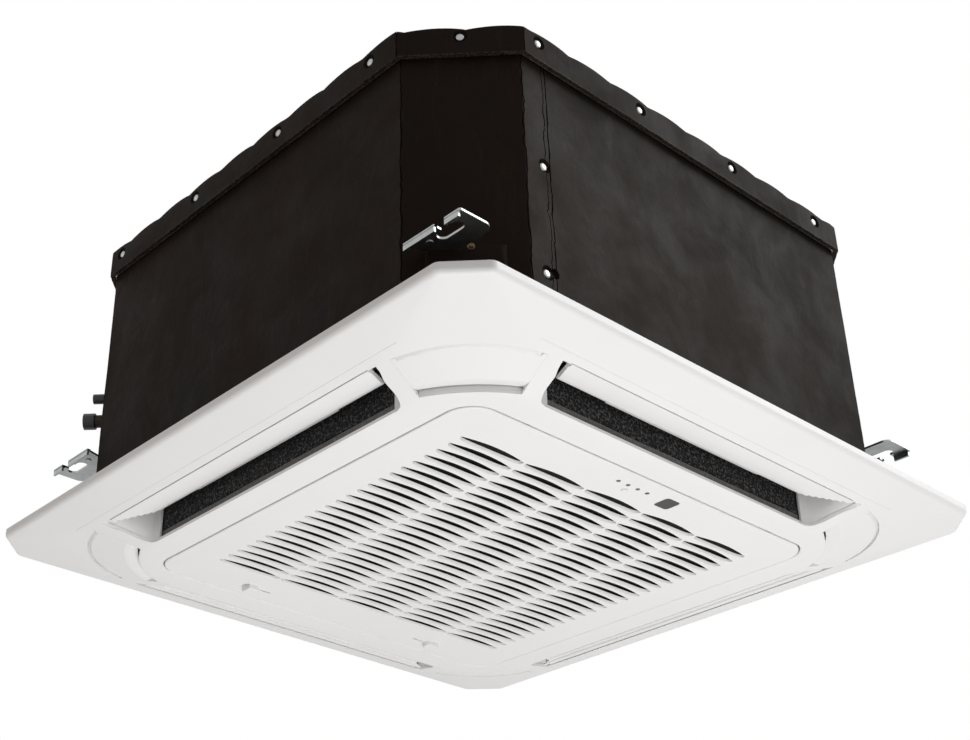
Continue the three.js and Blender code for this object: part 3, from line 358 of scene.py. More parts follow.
def round_square(half, radius, steps=CORNER_STEPS):
    """A square with round corners."""
    return around(arc(half - radius, half - radius, radius, 0, 90, steps))


def chamfered_square(half, chamfer, radius, steps=CORNER_STEPS):
    """A square with chamfered corners, its edges rounded."""
    inset = half - radius
    start = half - chamfer - radius * math.tan(math.pi / 8)
    each = (steps - 1) // 2
    first = arc(inset, start, radius, 0, 45, each)
    return around(first + arc(start, inset, radius, 45, 90, each))


def level(outline, z):
    """An outline lifted to a height."""
    return [Vector((p.x, p.y, z)) for p in outline]


def loft(rings, closed=False):
    """A skin through matching rings of points, capped, or joined end to end."""
    made = bmesh.new()
    rows = [[made.verts.new(p) for p in points] for points in rings]
    pairs = list(zip(rows, rows[1:]))
    if closed:
        pairs.append((rows[-1], rows[0]))
    for low, high in pairs:
        for i in range(len(low)):
            j = (i + 1) % len(low)
            made.faces.new((low[i], low[j], high[j], high[i]))
    if not closed:
        made.faces.new(rows[0])
        made.faces.new(rows[-1])
    bmesh.ops.remove_doubles(made, verts=made.verts, dist=1e-6)
    bmesh.ops.recalc_face_normals(made, faces=made.faces)
    return made


def prism(outline, low, high):
    """An upright prism."""
    return loft([level(outline, low), level(outline, high)])


def tube(outer, inner, low, high):
    """An upright tube between two matching outlines."""
    rings = [level(outer, low), level(outer, high), level(inner, high), level(inner, low)]
    return loft(rings, closed=True)


def block(low, high):
    """A box between two opposite corners."""
    (x0, y0, z0), (x1, y1, z1) = low, high
    outline = [Vector(p) for p in ((x0, y0), (x1, y0), (x1, y1), (x0, y1))]
    return prism(outline, z0, z1)


def turned(profile, steps=24):
    """A body of revolution about Z from (radius, height) points, its ends on the axis."""
    rings = []
    for radius, height in profile:
        rings.append(level(arc(0, 0, max(radius, 1e-5), 0, 360 - 360 / steps, steps - 1), height))
    return loft(rings)


def moved(part, matrix):
    """The same skin, moved by a matrix."""
    part.transform(matrix)
    return part


def mirrored(part, matrix):
    """The same skin moved by a mirroring matrix, its faces turned outwards again."""
    part.transform(matrix)
    bmesh.ops.recalc_face_normals(part, faces=part.faces)
    return part


def copied(part, matrix):
    """A moved copy of a skin."""
    return moved(part.copy(), matrix)


def quarter_turn(index):
    """The turn from the first side or corner to another."""
    return Matrix.Rotation(index * QUARTER, 4, "Z")


def four_ways(part):
    """A skin repeated on all four sides."""
    copies = [copied(part, quarter_turn(index)) for index in range(4)]
    part.free()
    return copies


def together(parts):
    """Several skins in one, each still its own shell."""
    whole = bmesh.new()
    for part in parts:
        mesh = bpy.data.meshes.new("part")
        part.to_mesh(mesh)
        part.free()
        whole.from_mesh(mesh)
        bpy.data.meshes.remove(mesh)
    return whole


def as_object(part, name):
    """A mesh object holding a skin."""
    mesh = bpy.data.meshes.new(name)
    part.to_mesh(mesh)
    part.free()
    made = bpy.data.objects.new(name, mesh)
    bpy.context.scene.collection.objects.link(made)
    return made


def combined(target, tool, operation):
    """Cuts, joins or intersects one skin with another and returns the result."""
    body = as_object(target, "body")
    other = as_object(tool, "tool")
    step = body.modifiers.new("combine", "BOOLEAN")
    step.operation = operation
    step.solver = "EXACT"
    step.object = other
    graph = bpy.context.evaluated_depsgraph_get()
    mesh = body.evaluated_get(graph).to_mesh()
    if not mesh.polygons:
        raise RuntimeError(f"nothing is left after {operation}")
    result = bmesh.new()
    result.from_mesh(mesh)
    body.evaluated_get(graph).to_mesh_clear()
    for used in (body, other):
        old = used.data
        bpy.data.objects.remove(used)
        bpy.data.meshes.remove(old)
    return result


def cut(target, *tools):
    """One skin with others cut out of it."""
    return combined(target, together(tools), "DIFFERENCE")


def common(target, tool):
    """What two skins share."""
    return combined(target, tool, "INTERSECT")


def piece(name, part, body, material, replaced=(), angle=30):
    """A finished piece: smooth by angle, painted, and riding on its body."""
    bmesh.ops.remove_doubles(part, verts=part.verts, dist=2e-6)
    made = as_object(part, name)
    if not made.data.polygons:
        raise RuntimeError(f"{name} came out empty")
    made.data.shade_smooth()
    made.data.set_sharp_from_angle(angle=math.radians(angle))
    made.data.materials.append(material)
    made.modifiers.new("even shading", "WEIGHTED_NORMAL").keep_sharp = True
    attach(made, body)
    if replaced:
        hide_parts(*replaced)
    return made


# ---------------------------------------------------------------- shared shader groups


def node(tree, kind, **values):
    """A shader node with some of its inputs or settings given."""
    made = tree.nodes.new(kind)
    for key, value in values.items():
        label = key.replace("_", " ")
        if label in made.inputs:
            made.inputs[label].default_value = value
        else:
            setattr(made, key, value)
    return made


def connect(tree, value, socket):
    """Links a socket to an input, or gives the input a plain number."""
    if isinstance(value, bpy.types.NodeSocket):
        tree.links.new(value, socket)
    else:
        socket.default_value = value


def arithmetic(tree, operation, *values, clamp=False):
    """What an operation makes of sockets and numbers, as a socket."""
    made = node(tree, "ShaderNodeMath", operation=operation, use_clamp=clamp)
    for value, socket in zip(values, made.inputs):
        connect(tree, value, socket)
    return made.outputs[0]


def product(tree, first, second):
    """The product of two masks, or of a mask and a number."""
    return arithmetic(tree, "MULTIPLY", first, second)


def stretched(tree, value, low, high):
    """A mask that is 0 at one value of a socket and 1 at another."""
    made = node(tree, "ShaderNodeMapRange")
    made.inputs["From Min"].default_value = low
    made.inputs["From Max"].default_value = high
    tree.links.new(value, made.inputs["Value"])
    return made.outputs["Result"]


def on_object(tree):
    """The object's own coordinates."""
    return node(tree, "ShaderNodeTexCoord").outputs["Object"]


def texture(tree, kind, place, scale, **values):
    """A texture at a place and scale."""
    made = node(tree, kind, **values)
    tree.links.new(place, made.inputs["Vector"])
    connect(tree, scale, made.inputs["Scale"])
    return made


def shader_group(name, inputs, outputs):
    """An empty node group with float inputs and outputs, and its two end nodes."""
    tree = bpy.data.node_groups.new(name, "ShaderNodeTree")
    for label, value in inputs:
        socket = tree.interface.new_socket(
            name=label, in_out="INPUT", socket_type="NodeSocketFloat"
        )
        socket.default_value = value
    for label in outputs:
        tree.interface.new_socket(name=label, in_out="OUTPUT", socket_type="NodeSocketFloat")
    return tree, tree.nodes.new("NodeGroupInput"), tree.nodes.new("NodeGroupOutput")


def grain_group():
    """Fine moulded grain: a height, and a roughness that wanders a little."""
    tree, given, result = shader_group(
        "Fine grain", [("Scale", 900.0), ("Roughness", 0.4), ("Spread", 0.06)], ["Height", "Roughness"]
    )
    place = on_object(tree)
    scale = given.outputs["Scale"]
    fine = texture(tree, "ShaderNodeTexNoise", place, scale, Detail=3.0, Roughness=0.6)
    tree.links.new(fine.outputs["Fac"], result.inputs["Height"])
    broad = texture(tree, "ShaderNodeTexNoise", place, 9.0, Detail=4.0)
    centred = arithmetic(tree, "SUBTRACT", broad.outputs["Fac"], 0.5)
    spread = given.outputs["Spread"]
    wander = arithmetic(tree, "MULTIPLY_ADD", centred, spread, given.outputs["Roughness"])
    tree.links.new(wander, result.inputs["Roughness"])
    return tree


def mottle_group():
    """Broad cloudy patches as a mask from 0 to 1."""
    tree, given, result = shader_group("Mottle", [("Scale", 6.0), ("Sharpness", 3.0)], ["Mask"])
    shape = {"Detail": 6.0, "Roughness": 0.62, "Distortion": 0.4}
    scale = given.outputs["Scale"]
    cloud = texture(tree, "ShaderNodeTexNoise", on_object(tree), scale, **shape)
    centred = arithmetic(tree, "SUBTRACT", cloud.outputs["Fac"], 0.5)
    sharpness = given.outputs["Sharpness"]
    spread = arithmetic(tree, "MULTIPLY_ADD", centred, sharpness, 0.5, clamp=True)
    tree.links.new(spread, result.inputs["Mask"])
    return tree


def scuff_group():
    """Long faint upright streaks as a mask."""
    tree, given, result = shader_group("Scuffs", [("Scale", 60.0), ("Amount", 1.0)], ["Mask"])
    stretch = node(tree, "ShaderNodeMapping")
    stretch.inputs["Scale"].default_value = (1.0, 1.0, 0.22)
    tree.links.new(on_object(tree), stretch.inputs["Vector"])
    shape = {"Detail": 5.0, "Roughness": 0.7, "Distortion": 0.8}
    scale = given.outputs["Scale"]
    streaks = texture(tree, "ShaderNodeTexNoise", stretch.outputs["Vector"], scale, **shape)
    keep = stretched(tree, streaks.outputs["Fac"], 0.56, 0.78)
    tree.links.new(product(tree, keep, given.outputs["Amount"]), result.inputs["Mask"])
    return tree


def cell_group():
    """Small round cells: a height and a mask of the cell walls."""
    tree, given, result = shader_group("Cells", [("Scale", 700.0)], ["Height", "Walls"])
    scale = given.outputs["Scale"]
    cells = texture(tree, "ShaderNodeTexVoronoi", on_object(tree), scale, feature="F1")
    distance = cells.outputs["Distance"]
    tree.links.new(distance, result.inputs["Height"])
    tree.links.new(stretched(tree, distance, 0.35, 0.75), result.inputs["Walls"])
    return tree


def band_group():
    """A mask that is 1 below a height and fades out above it."""
    tree, given, result = shader_group("Below height", [("Height", 0.0), ("Fade", 0.001)], ["Mask"])
    split = node(tree, "ShaderNodeSeparateXYZ")
    tree.links.new(on_object(tree), split.inputs[0])
    below = arithmetic(tree, "SUBTRACT", given.outputs["Height"], split.outputs["Z"])
    ratio = arithmetic(tree, "DIVIDE", below, given.outputs["Fade"], clamp=True)
    tree.links.new(ratio, result.inputs["Mask"])
    return tree


GROUP_MAKERS = {
    "Fine grain": grain_group,
    "Mottle": mottle_group,
    "Scuffs": scuff_group,
    "Cells": cell_group,
    "Below height": band_group,
}


def shared(tree, name, **values):
    """A use of a shared group, which is made the first time it is needed."""
    group = bpy.data.node_groups.get(name) or GROUP_MAKERS[name]()
    made = tree.nodes.new("ShaderNodeGroup")
    made.node_tree = group
    for key, value in values.items():
        made.inputs[key].default_value = value
    return made


# ---------------------------------------------------------------- materials


def start_material(name):
    """An empty material with a Principled shader; returns it, its tree and the shader."""
    made = bpy.data.materials.new(name)
    made.use_nodes = True
    return made, made.node_tree, made.node_tree.nodes["Principled BSDF"]


def opaque(value):
    """A colour with full alpha."""
    return (value[0], value[1], value[2], 1.0)


def tinted(tree, first, second, mask):
    """Two colours mixed by a mask; returns the colour socket."""
    mix = node(tree, "ShaderNodeMix", data_type="RGBA")
    inputs = [socket for socket in mix.inputs if socket.type == "RGBA"]
    for socket, value in zip(inputs, (first, second)):
        is_socket = isinstance(value, bpy.types.NodeSocket)
        connect(tree, value if is_socket else opaque(value), socket)
    tree.links.new(mask, mix.inputs["Factor"])
    return [socket for socket in mix.outputs if socket.type == "RGBA"][0]


def surface(tree, shader, height, depth, edge=0.0):
    """Puts a small relief on the shader, over edges rounded by a radius."""
    bump = node(tree, "ShaderNodeBump", Strength=1.0, Distance=depth)
    tree.links.new(height, bump.inputs["Height"])
    if edge:
        soft = node(tree, "ShaderNodeBevel", samples=4, Radius=edge)
        tree.links.new(soft.outputs["Normal"], bump.inputs["Normal"])
    tree.links.new(bump.outputs["Normal"], shader.inputs["Normal"])


def shaded(value, share):
    """A colour made lighter or darker."""
    return [min(1.0, channel * share) for channel in value]


def moulded(name, value, roughness=0.42, grain=1300.0, depth=0.00001, edge=0.0004):
    """Moulded plastic with a fine grain, faint cloudiness and soft edges."""
    made, tree, shader = start_material(name)
    fine = shared(tree, "Fine grain", Scale=grain, Roughness=roughness, Spread=0.10)
    cloud = shared(tree, "Mottle", Scale=7.0, Sharpness=1.6)
    base = tinted(tree, value, shaded(value, 0.955), cloud.outputs["Mask"])
    tree.links.new(base, shader.inputs["Base Color"])
    tree.links.new(fine.outputs["Roughness"], shader.inputs["Roughness"])
    shader.inputs["IOR"].default_value = 1.46
    surface(tree, shader, fine.outputs["Height"], depth, edge)
    return made


def clear_tint(name, value):
    """A tinted clear plastic light: darker patches under a glossy coat."""
    made = moulded(name, value, roughness=0.25, grain=500.0, edge=0.0003)
    shader = made.node_tree.nodes["Principled BSDF"]
    shader.inputs["Coat Weight"].default_value = 0.6
    shader.inputs["Coat Roughness"].default_value = 0.08
    return made


def seen_directly(tree):
    """1 for rays from the camera, a mirror or through glass, and 0 for other light."""
    path = node(tree, "ShaderNodeLightPath")
    seen = path.outputs["Is Camera Ray"]
    for ray in ("Is Glossy Ray", "Is Transmission Ray"):
        seen = arithmetic(tree, "MAXIMUM", seen, path.outputs[ray])
    return seen


def foam_sheet(name, value, cut, foot=None):
    """Closed-cell foam sheet: wrinkled, dusty and scuffed, with a paler cut edge."""
    made, tree, shader = start_material(name)
    cloud = shared(tree, "Mottle", Scale=5.0, Sharpness=2.6)
    dust = shared(tree, "Mottle", Scale=17.0, Sharpness=4.0)
    streaks = shared(tree, "Scuffs", Scale=90.0, Amount=0.8)
    wrinkles = shared(tree, "Mottle", Scale=60.0, Sharpness=1.2)
    cells = shared(tree, "Cells", Scale=900.0)
    base = tinted(tree, shaded(value, 0.55), shaded(value, 1.4), cloud.outputs["Mask"])
    dusty = product(tree, dust.outputs["Mask"], 0.55)
    base = tinted(tree, base, shaded(value, 2.1), product(tree, dusty, cloud.outputs["Mask"]))
    base = tinted(tree, base, shaded(value, 2.9), streaks.outputs["Mask"])
    if foot is not None:
        low = shared(tree, "Below height", Height=foot, Fade=0.0008)
        torn = shared(tree, "Mottle", Scale=420.0, Sharpness=6.0)
        both = product(tree, low.outputs["Mask"], torn.outputs["Mask"])
        base = tinted(tree, base, cut, both)
    tree.links.new(base, shader.inputs["Base Color"])
    wear = node(tree, "ShaderNodeMapRange")
    wear.inputs["To Min"].default_value = 0.52
    wear.inputs["To Max"].default_value = 0.66
    tree.links.new(dust.outputs["Mask"], wear.inputs["Value"])
    tree.links.new(wear.outputs["Result"], shader.inputs["Roughness"])
    shader.inputs["Specular IOR Level"].default_value = 0.040
    height = cells.outputs["Height"]
    relief = arithmetic(tree, "MULTIPLY_ADD", height, 0.06, wrinkles.outputs["Mask"])
    surface(tree, shader, relief, 0.0005, 0.0006)
    return made


def speckled_foam(name, value, cut):
    """Foam in an outlet, a few of its open cells catching the light."""
    made, tree, shader = start_material(name)
    cells = shared(tree, "Cells", Scale=480.0)
    sparse = shared(tree, "Mottle", Scale=420.0, Sharpness=6.0)
    # Painted highlights: the cells under this mask take the paler colour passed as cut, as open cells
    # catching the light.
    bright = product(tree, cells.outputs["Walls"], sparse.outputs["Mask"])
    base = tinted(tree, value, cut, product(tree, bright, 0.85))
    tree.links.new(base, shader.inputs["Base Color"])
    fine = shared(tree, "Fine grain", Scale=700.0, Roughness=0.85, Spread=0.1)
    tree.links.new(fine.outputs["Roughness"], shader.inputs["Roughness"])
    shader.inputs["Specular IOR Level"].default_value = 0.15
    surface(tree, shader, cells.outputs["Height"], 0.0003)
    return made


def plated(name, value, roughness=0.34):
    """Zinc-plated steel: faint spangle, fine drawn lines and soft edges."""
    made, tree, shader = start_material(name)
    spangle = shared(tree, "Mottle", Scale=90.0, Sharpness=2.2)
    streaks = shared(tree, "Scuffs", Scale=400.0, Amount=0.5)
    base = tinted(tree, shaded(value, 0.82), shaded(value, 1.12), spangle.outputs["Mask"])
    base = tinted(tree, base, shaded(value, 0.6), streaks.outputs["Mask"])
    tree.links.new(base, shader.inputs["Base Color"])
    fine = shared(tree, "Fine grain", Scale=900.0, Roughness=roughness, Spread=0.25)
    tree.links.new(fine.outputs["Roughness"], shader.inputs["Roughness"])
    shader.inputs["Metallic"].default_value = 1.0
    surface(tree, shader, fine.outputs["Height"], 0.00002, 0.0004)
    return made


def beaded(name, value):
    """Expanded bead foam."""
    made, tree, shader = start_material(name)
    beads = shared(tree, "Cells", Scale=260.0)
    base = tinted(tree, value, shaded(value, 0.86), beads.outputs["Walls"])
    tree.links.new(base, shader.inputs["Base Color"])
    fine = shared(tree, "Fine grain", Scale=600.0, Roughness=0.8, Spread=0.1)
    tree.links.new(fine.outputs["Roughness"], shader.inputs["Roughness"])
    surface(tree, shader, beads.outputs["Height"], 0.0003)
    return made


def finned(name, value):
    """A coil's face: close upright fins, their edges in the plain colour and painted shade in the gaps
    between them.
    """
    made, tree, shader = start_material(name)
    split = node(tree, "ShaderNodeSeparateXYZ")
    tree.links.new(on_object(tree), split.inputs[0])
    along = arithmetic(tree, "ADD", split.outputs["X"], split.outputs["Y"])
    turns = product(tree, along, FIN_TURNS)
    fins = stretched(tree, arithmetic(tree, "SINE", turns), -1.0, 1.0)
    # Painted shade: the gaps between the fins take a quarter of the aluminium colour.
    base = tinted(tree, shaded(value, 0.25), value, fins)
    tree.links.new(base, shader.inputs["Base Color"])
    shader.inputs["Metallic"].default_value = 0.9
    fine = shared(tree, "Fine grain", Scale=800.0, Roughness=0.4, Spread=0.2)
    tree.links.new(fine.outputs["Roughness"], shader.inputs["Roughness"])
    surface(tree, shader, fins, 0.0003)
    return made


def material_makers(finish):
    """How each of the record's material slots is made."""
    return {
        "white_plastic": lambda name: moulded(name, finish.white_plastic),
        "grey_plastic": lambda name: moulded(name, finish.grey_plastic, 0.5),
        "black_foam": lambda name: foam_sheet(name, finish.foam, finish.cut_foam),
        "white_foam": lambda name: beaded(name, finish.bead_foam),
        "black_plastic": lambda name: moulded(name, finish.black_plastic, 0.38, 900.0),
        "copper": lambda name: plated(name, finish.copper, 0.3),
        "coil_fins": lambda name: finned(name, finish.fins),
        "circuit_board": lambda name: moulded(name, finish.board, 0.3),
        "red_light": lambda name: clear_tint(name, finish.red),
        "yellow_light": lambda name: clear_tint(name, finish.yellow),
        "green_light": lambda name: clear_tint(name, finish.green),
        "motor_paint": lambda name: moulded(name, finish.motor, 0.45),
        "zinc_steel": lambda name: plated(name, finish.zinc),
    }


def material(slot):
    """The material of one of the record's slots, made when it is first asked for."""
    name = "cassette_" + slot
    found = bpy.data.materials.get(name)
    return found or material_makers(bpy.context.scene.cassette.finish)[slot](name)


# ---------------------------------------------------------------- panel


def rim_outline(sizes, half):
    """The rim's outline, moved evenly inside the panel's edge."""
    chamfer = sizes.chamfer - (2 - math.sqrt(2)) * (sizes.half - half)
    return chamfered_square(half, chamfer, sizes.rim_radius)


def slope_profile(sizes):
    """The underside's (half width, depth) from the rim's foot to the flat."""
    return [
        (sizes.slope_half, sizes.rim_depth),
        (sizes.round_half, sizes.round_depth),
        (sizes.flat_half + 0.011, sizes.depth - 0.0018),
        (sizes.flat_half + 0.006, sizes.depth - 0.0004),
        (sizes.flat_half, sizes.depth),
    ]


def depth_below(sizes, out):
    """How deep the underside lies at a distance from the centre."""
    profile = slope_profile(sizes)
    for (wide, high), (narrow, low) in zip(profile, profile[1:]):
        if narrow <= out <= wide:
            share = (wide - out) / (wide - narrow)
            return high + (low - high) * share
    return sizes.depth if out < sizes.flat_half else sizes.rim_depth


def panel_skin(sizes):
    """The panel's moulding as a closed skin: underside, rim and inner side."""
    radius = sizes.flat_radius
    face = [
        level(round_square(sizes.flat_half, radius), -sizes.depth),
        level(round_square(sizes.flat_half + 0.006, radius + 0.004), 0.0004 - sizes.depth),
        level(round_square(sizes.flat_half + 0.011, radius + 0.007), 0.0018 - sizes.depth),
        level(round_square(sizes.round_half, sizes.round_radius), -sizes.round_depth),
        level(rim_outline(sizes, sizes.slope_half), -sizes.rim_depth),
        level(rim_outline(sizes, sizes.slope_half + 0.0017), -sizes.rim_depth + 0.0005),
        level(rim_outline(sizes, sizes.half - 0.0012), -0.0083),
        level(rim_outline(sizes, sizes.half - 0.0003), -0.0068),
        level(rim_outline(sizes, sizes.half), -0.0053),
        level(rim_outline(sizes, sizes.half), -0.0006),
        level(rim_outline(sizes, sizes.half - 0.0006), 0.0),
    ]
    inside = sizes.half - sizes.rim_wall
    back = [
        level(rim_outline(sizes, inside), 0.0),
        level(rim_outline(sizes, inside), -0.0058),
        level(rim_outline(sizes, sizes.slope_half - 0.0033), -0.0076),
        level(round_square(sizes.round_half - 0.0015, 0.097), sizes.skin - sizes.round_depth),
        level(round_square(sizes.flat_half + 0.007, 0.072), 0.0034 - sizes.depth),
        level(round_square(sizes.flat_half - 0.002, 0.065), sizes.skin - sizes.depth),
    ]
    return loft(face + back)


def outlet_outline(outlet, z, grow=0.0, above_lip=True):
    """The front outlet's outline at a height, its end walls hollowed like a scoop."""
    rise = max(0.0, min(1.0, (z + outlet.scoop_depth) / (0.017 + outlet.scoop_depth)))
    spread = math.sqrt(max(0.0, 1 - rise * rise))
    out = outlet.out - (outlet.out - outlet.top_out) * max(0.0, min(1.0, (z + 0.004) / 0.021))
    plan = [
        (outlet.half_out, out),
        (0.1842, out - (outlet.out - 0.2765)),
        (0.1800, out - (outlet.out - 0.268)),
        (0.1775, out - (outlet.out - 0.260)),
        (0.1750, outlet.inner + 0.012),
        (0.1715, outlet.inner + 0.0055),
        (0.1680, outlet.inner + 0.0018),
        (outlet.half_in, outlet.inner),
    ]
    right = []
    inner_foot = -0.0333
    foot_rise = 0.0131
    lean = 0.8
    lean_height = 0.009
    for wide, far in plan:
        x = outlet.top_half + (wide - outlet.top_half) * spread + grow
        share = (far - outlet.inner) / (outlet.out - outlet.inner)
        foot = inner_foot + foot_rise * share
        x -= lean * share * max(0.0, min(lean_height, z - foot))
        right.append(Vector((x, -far + (grow if far == outlet.inner else 0.0))))
    right[0].y -= grow
    room = outlet.liner_inset + outlet.liner_thickness + 0.0006 if above_lip else 0.0
    corner = outlet.liner_half + 0.0005
    right.append(Vector((corner, -outlet.inner + grow)))
    right.append(Vector((corner, -outlet.inner + room + grow)))
    left = [Vector((-p.x, p.y)) for p in reversed(right)]
    return right + left


def outlet_passage(outlet):
    """The front outlet's free space, from under the panel to above its top."""
    lip = -outlet.liner_foot - 0.0003
    rings = [level(outlet_outline(outlet, -0.045, above_lip=False), -0.045)]
    rings.append(level(outlet_outline(outlet, lip, above_lip=False), lip))
    rings.append(level(outlet_outline(outlet, lip), lip + 0.0001))
    rings += [level(outlet_outline(outlet, z), z) for z in DUCT_HEIGHTS]
    rings.append(level(outlet_outline(outlet, DUCT_HEIGHTS[-1]), 0.02))
    return loft(rings)


def outlet_duct(panel, outlet):
    """The walls of the front outlet, standing on the panel's slope."""

    def foot(grow, sink):
        outline = outlet_outline(outlet, -0.03, grow, above_lip=False)
        return [Vector((p.x, p.y, sink - depth_below(panel, -p.y))) for p in outline]

    def raised(grow, z):
        low = foot(grow, 0.0006)
        outline = outlet_outline(outlet, z, grow)
        return [Vector((p.x, p.y, max(z, q.z + 0.0005))) for p, q in zip(outline, low)]

    def wall(grow, sink):
        rings = [foot(grow, sink)] + [raised(grow, z) for z in DUCT_HEIGHTS]
        return rings + [level(outlet_outline(outlet, DUCT_HEIGHTS[-1], grow), panel.top)]

    behind = 0.0003  # so that the wall stands clear of the skin's cut edge
    return loft(wall(behind, 0.0004) + wall(outlet.wall, 0.0012)[::-1], closed=True)


def cover_outline(cover, margin=0.0):
    """The cover's outline at the (+X -Y) corner, grown by a margin."""
    outer = cover.outer_centre
    inner = cover.inner_centre
    wide = arc(outer, -outer, cover.outer_radius + margin, -80.5, -9.5, 28)
    narrow = arc(inner, -inner, cover.inner_radius - margin, -23.5, -66.5, 18)
    return wide + narrow


def collar_and_deck(sizes, outlet):
    """The hidden upright collar and intake wall, with the deck that joins them."""
    inner = sizes.collar_half - sizes.collar_wall
    outer_ring = chamfered_square(sizes.collar_half, sizes.collar_chamfer, 0.001)
    inner_ring = chamfered_square(inner, sizes.collar_chamfer - 0.0015, 0.001)
    collar = tube(outer_ring, inner_ring, 0.002 - sizes.round_depth, sizes.top)
    hole = sizes.recess_half + 0.0011
    around_grille = round_square(hole + 0.0028, sizes.recess_radius + 0.0028)
    opening = round_square(hole, sizes.recess_radius)
    wall = tube(around_grille, opening, 0.0015 - sizes.depth, sizes.top)
    ledge_ring = round_square(sizes.ledge_half, sizes.recess_radius - 0.008)
    ledge = tube(opening, ledge_ring, -sizes.ledge_depth, 0.0025 - sizes.ledge_depth)
    deck = tube(inner_ring, around_grille, sizes.top - sizes.deck, sizes.top - 0.0002)
    deck = cut(deck, *four_ways(outlet_passage(outlet)))
    return [collar, wall, ledge, deck]


def recess_tool(sizes):
    """What the grille's opening takes out of the panel, flared so that its edge is round."""
    edge = [
        (0.05, 0.0016),
        (0.0, 0.0016),
        (-0.0002, 0.0008),
        (-0.0006, 0.0003),
        (-0.0013, 0.0),
    ]
    rings = []
    for depth, grow in edge:
        outline = round_square(sizes.recess_half + grow, sizes.recess_radius + grow)
        rings.append(level(outline, -sizes.depth - depth))
    rings.append(level(round_square(sizes.recess_half, sizes.recess_radius), 0.02))
    return loft(rings)


def along_y(outline, low, high):
    """A prism along Y from an outline in X and Z."""
    return loft([[Vector((p.x, y, p.y)) for p in outline] for y in (low, high)])


def hinge_pin(grille):
    """Where the hinge pins lie along X and Z with the grille shut."""
    reach = grille.track_radius
    x = grille.swing_x + reach * math.cos(grille.track_start)
    return x, reach * math.sin(grille.track_start) - grille.swing_depth


def hinge_lugs(sizes, grille):
    """The two lugs that hold the grille's hinge pins."""
    lugs = []
    radius = grille.lug_radius
    x, z = hinge_pin(grille)
    outline = arc(x, z, radius, 180, 360, 18)
    top = 0.001 - sizes.ledge_depth
    outline += [Vector((x + radius, top)), Vector((x - radius, top))]
    for side in (-1, 1):
        y = side * grille.hinge_y
        lug = along_y(outline, y - grille.lug_half, y + grille.lug_half)
        hole = along_y(arc(x, z, PIN_HOLE, 0, 345, 23), y - 0.004, y + 0.004)
        lugs.append(cut(lug, hole))
    return lugs


# ---------------------------------------------------------------- flaps and liners


def flap_half(flap, y):
    """The flap's half length at a distance from its pivot, one step for each rib."""
    step = max(0, math.floor(y / flap.rib_pitch)) * flap.rib_pitch
    slope = (flap.half_out - flap.half_in) / flap.end_width
    return flap.half_out - slope * min(step, flap.end_width)


def flap_ring(half, y, low, high):
    """A crosswise section of the flap."""
    return [Vector((x, y, z)) for x, z in ((-half, low), (half, low), (half, high), (-half, high))]


def flap_plate(flap):
    """The flap about its pivot, lying level: ribs below and stepped ends."""
    low = -flap.below_pivot
    high = low + flap.thickness
    middle = (low + high) / 2
    rings = []

    def add(y, below, above, side=0.0):
        rings.append(flap_ring(flap_half(flap, y + side), y, below, above))

    add(-0.0016, middle - 0.0004, middle + 0.0004)
    add(-0.0012, low + 0.0004, high - 0.0004)
    add(-0.0004, low, high)
    for index in range(flap.ribs):
        y = (index + 1) * flap.rib_pitch
        add(y - flap.rib_step, low - flap.rib_height, high)
        add(y, low, high, side=-1e-5)
        add(y, low, high, side=1e-5)
    add(flap.end_width - 0.0008, low, high)
    add(flap.end_width - 0.0002, low + 0.0005, high - 0.0005)
    rings.sort(key=lambda ring: ring[0].y)
    return loft(rings)


def flap_middle(flap):
    """The wider middle stretch along the flap's inner edge."""
    low = -flap.below_pivot
    high = low + flap.thickness
    rings = [
        flap_ring(flap.step_half + 0.0018, flap.end_width - 0.003, low - 0.0001, high + 0.0001),
        flap_ring(flap.step_half + 0.0010, flap.end_width, low - 0.0001, high + 0.0001),
        flap_ring(flap.step_half, flap.width - 0.0007, low, high),
        flap_ring(flap.step_half - 0.0004, flap.width, low + 0.0006, high - 0.0006),
    ]
    return loft(rings)


def flap_pins(flap):
    """The pins at both ends of the pivot line."""
    pins = []
    start = flap.half_out - 0.012
    turn = Matrix.Rotation(QUARTER, 4, "Y")
    for low, high in ((start, flap.pin_end), (-flap.pin_end, -start)):
        pins.append(moved(prism(arc(0, 0, flap.pin_radius, 0, 345, 23), low, high), turn))
    return pins


# ---------------------------------------------------------------- grille


def slot_ring(grille, x, y, inner, z, margin=0.0):
    """One slot's outline: a bowed edge, and a straight one with round ends."""
    steps = 16
    half = grille.slot_half + margin
    places = [math.sin(QUARTER * (2 * i / steps - 1)) for i in range(steps + 1)]
    outer = grille.outer_bow + margin
    ring = [Vector((x + margin + outer * (1 - t * t), y + t * half, z)) for t in places]
    for t in reversed(places[1:-1]):
        ring.append(Vector((x - inner * (1 - t**8) ** 0.5, y + t * half, z)))
    return ring


def slot_tool(grille, x, y):
    """What a slot takes out of the face: a sharp side and a sloping side."""
    face = -grille.face_depth
    back = face + grille.floor
    lip = grille.lip
    middle = (grille.scoop + grille.throat) / 2
    rings = [
        slot_ring(grille, x, y, grille.scoop + lip * 2, face - lip, lip),
        slot_ring(grille, x, y, grille.scoop + lip, face, lip),
        slot_ring(grille, x, y, grille.scoop + lip * 0.3, face + lip * 0.5, lip * 0.3),
        slot_ring(grille, x, y, grille.scoop * 0.97, face + lip),
        slot_ring(grille, x, y, middle, (face + back) / 2),
        slot_ring(grille, x, y, grille.throat, back + 0.0002),
        slot_ring(grille, x, y, grille.throat, back + 0.002),
    ]
    return loft(rings)


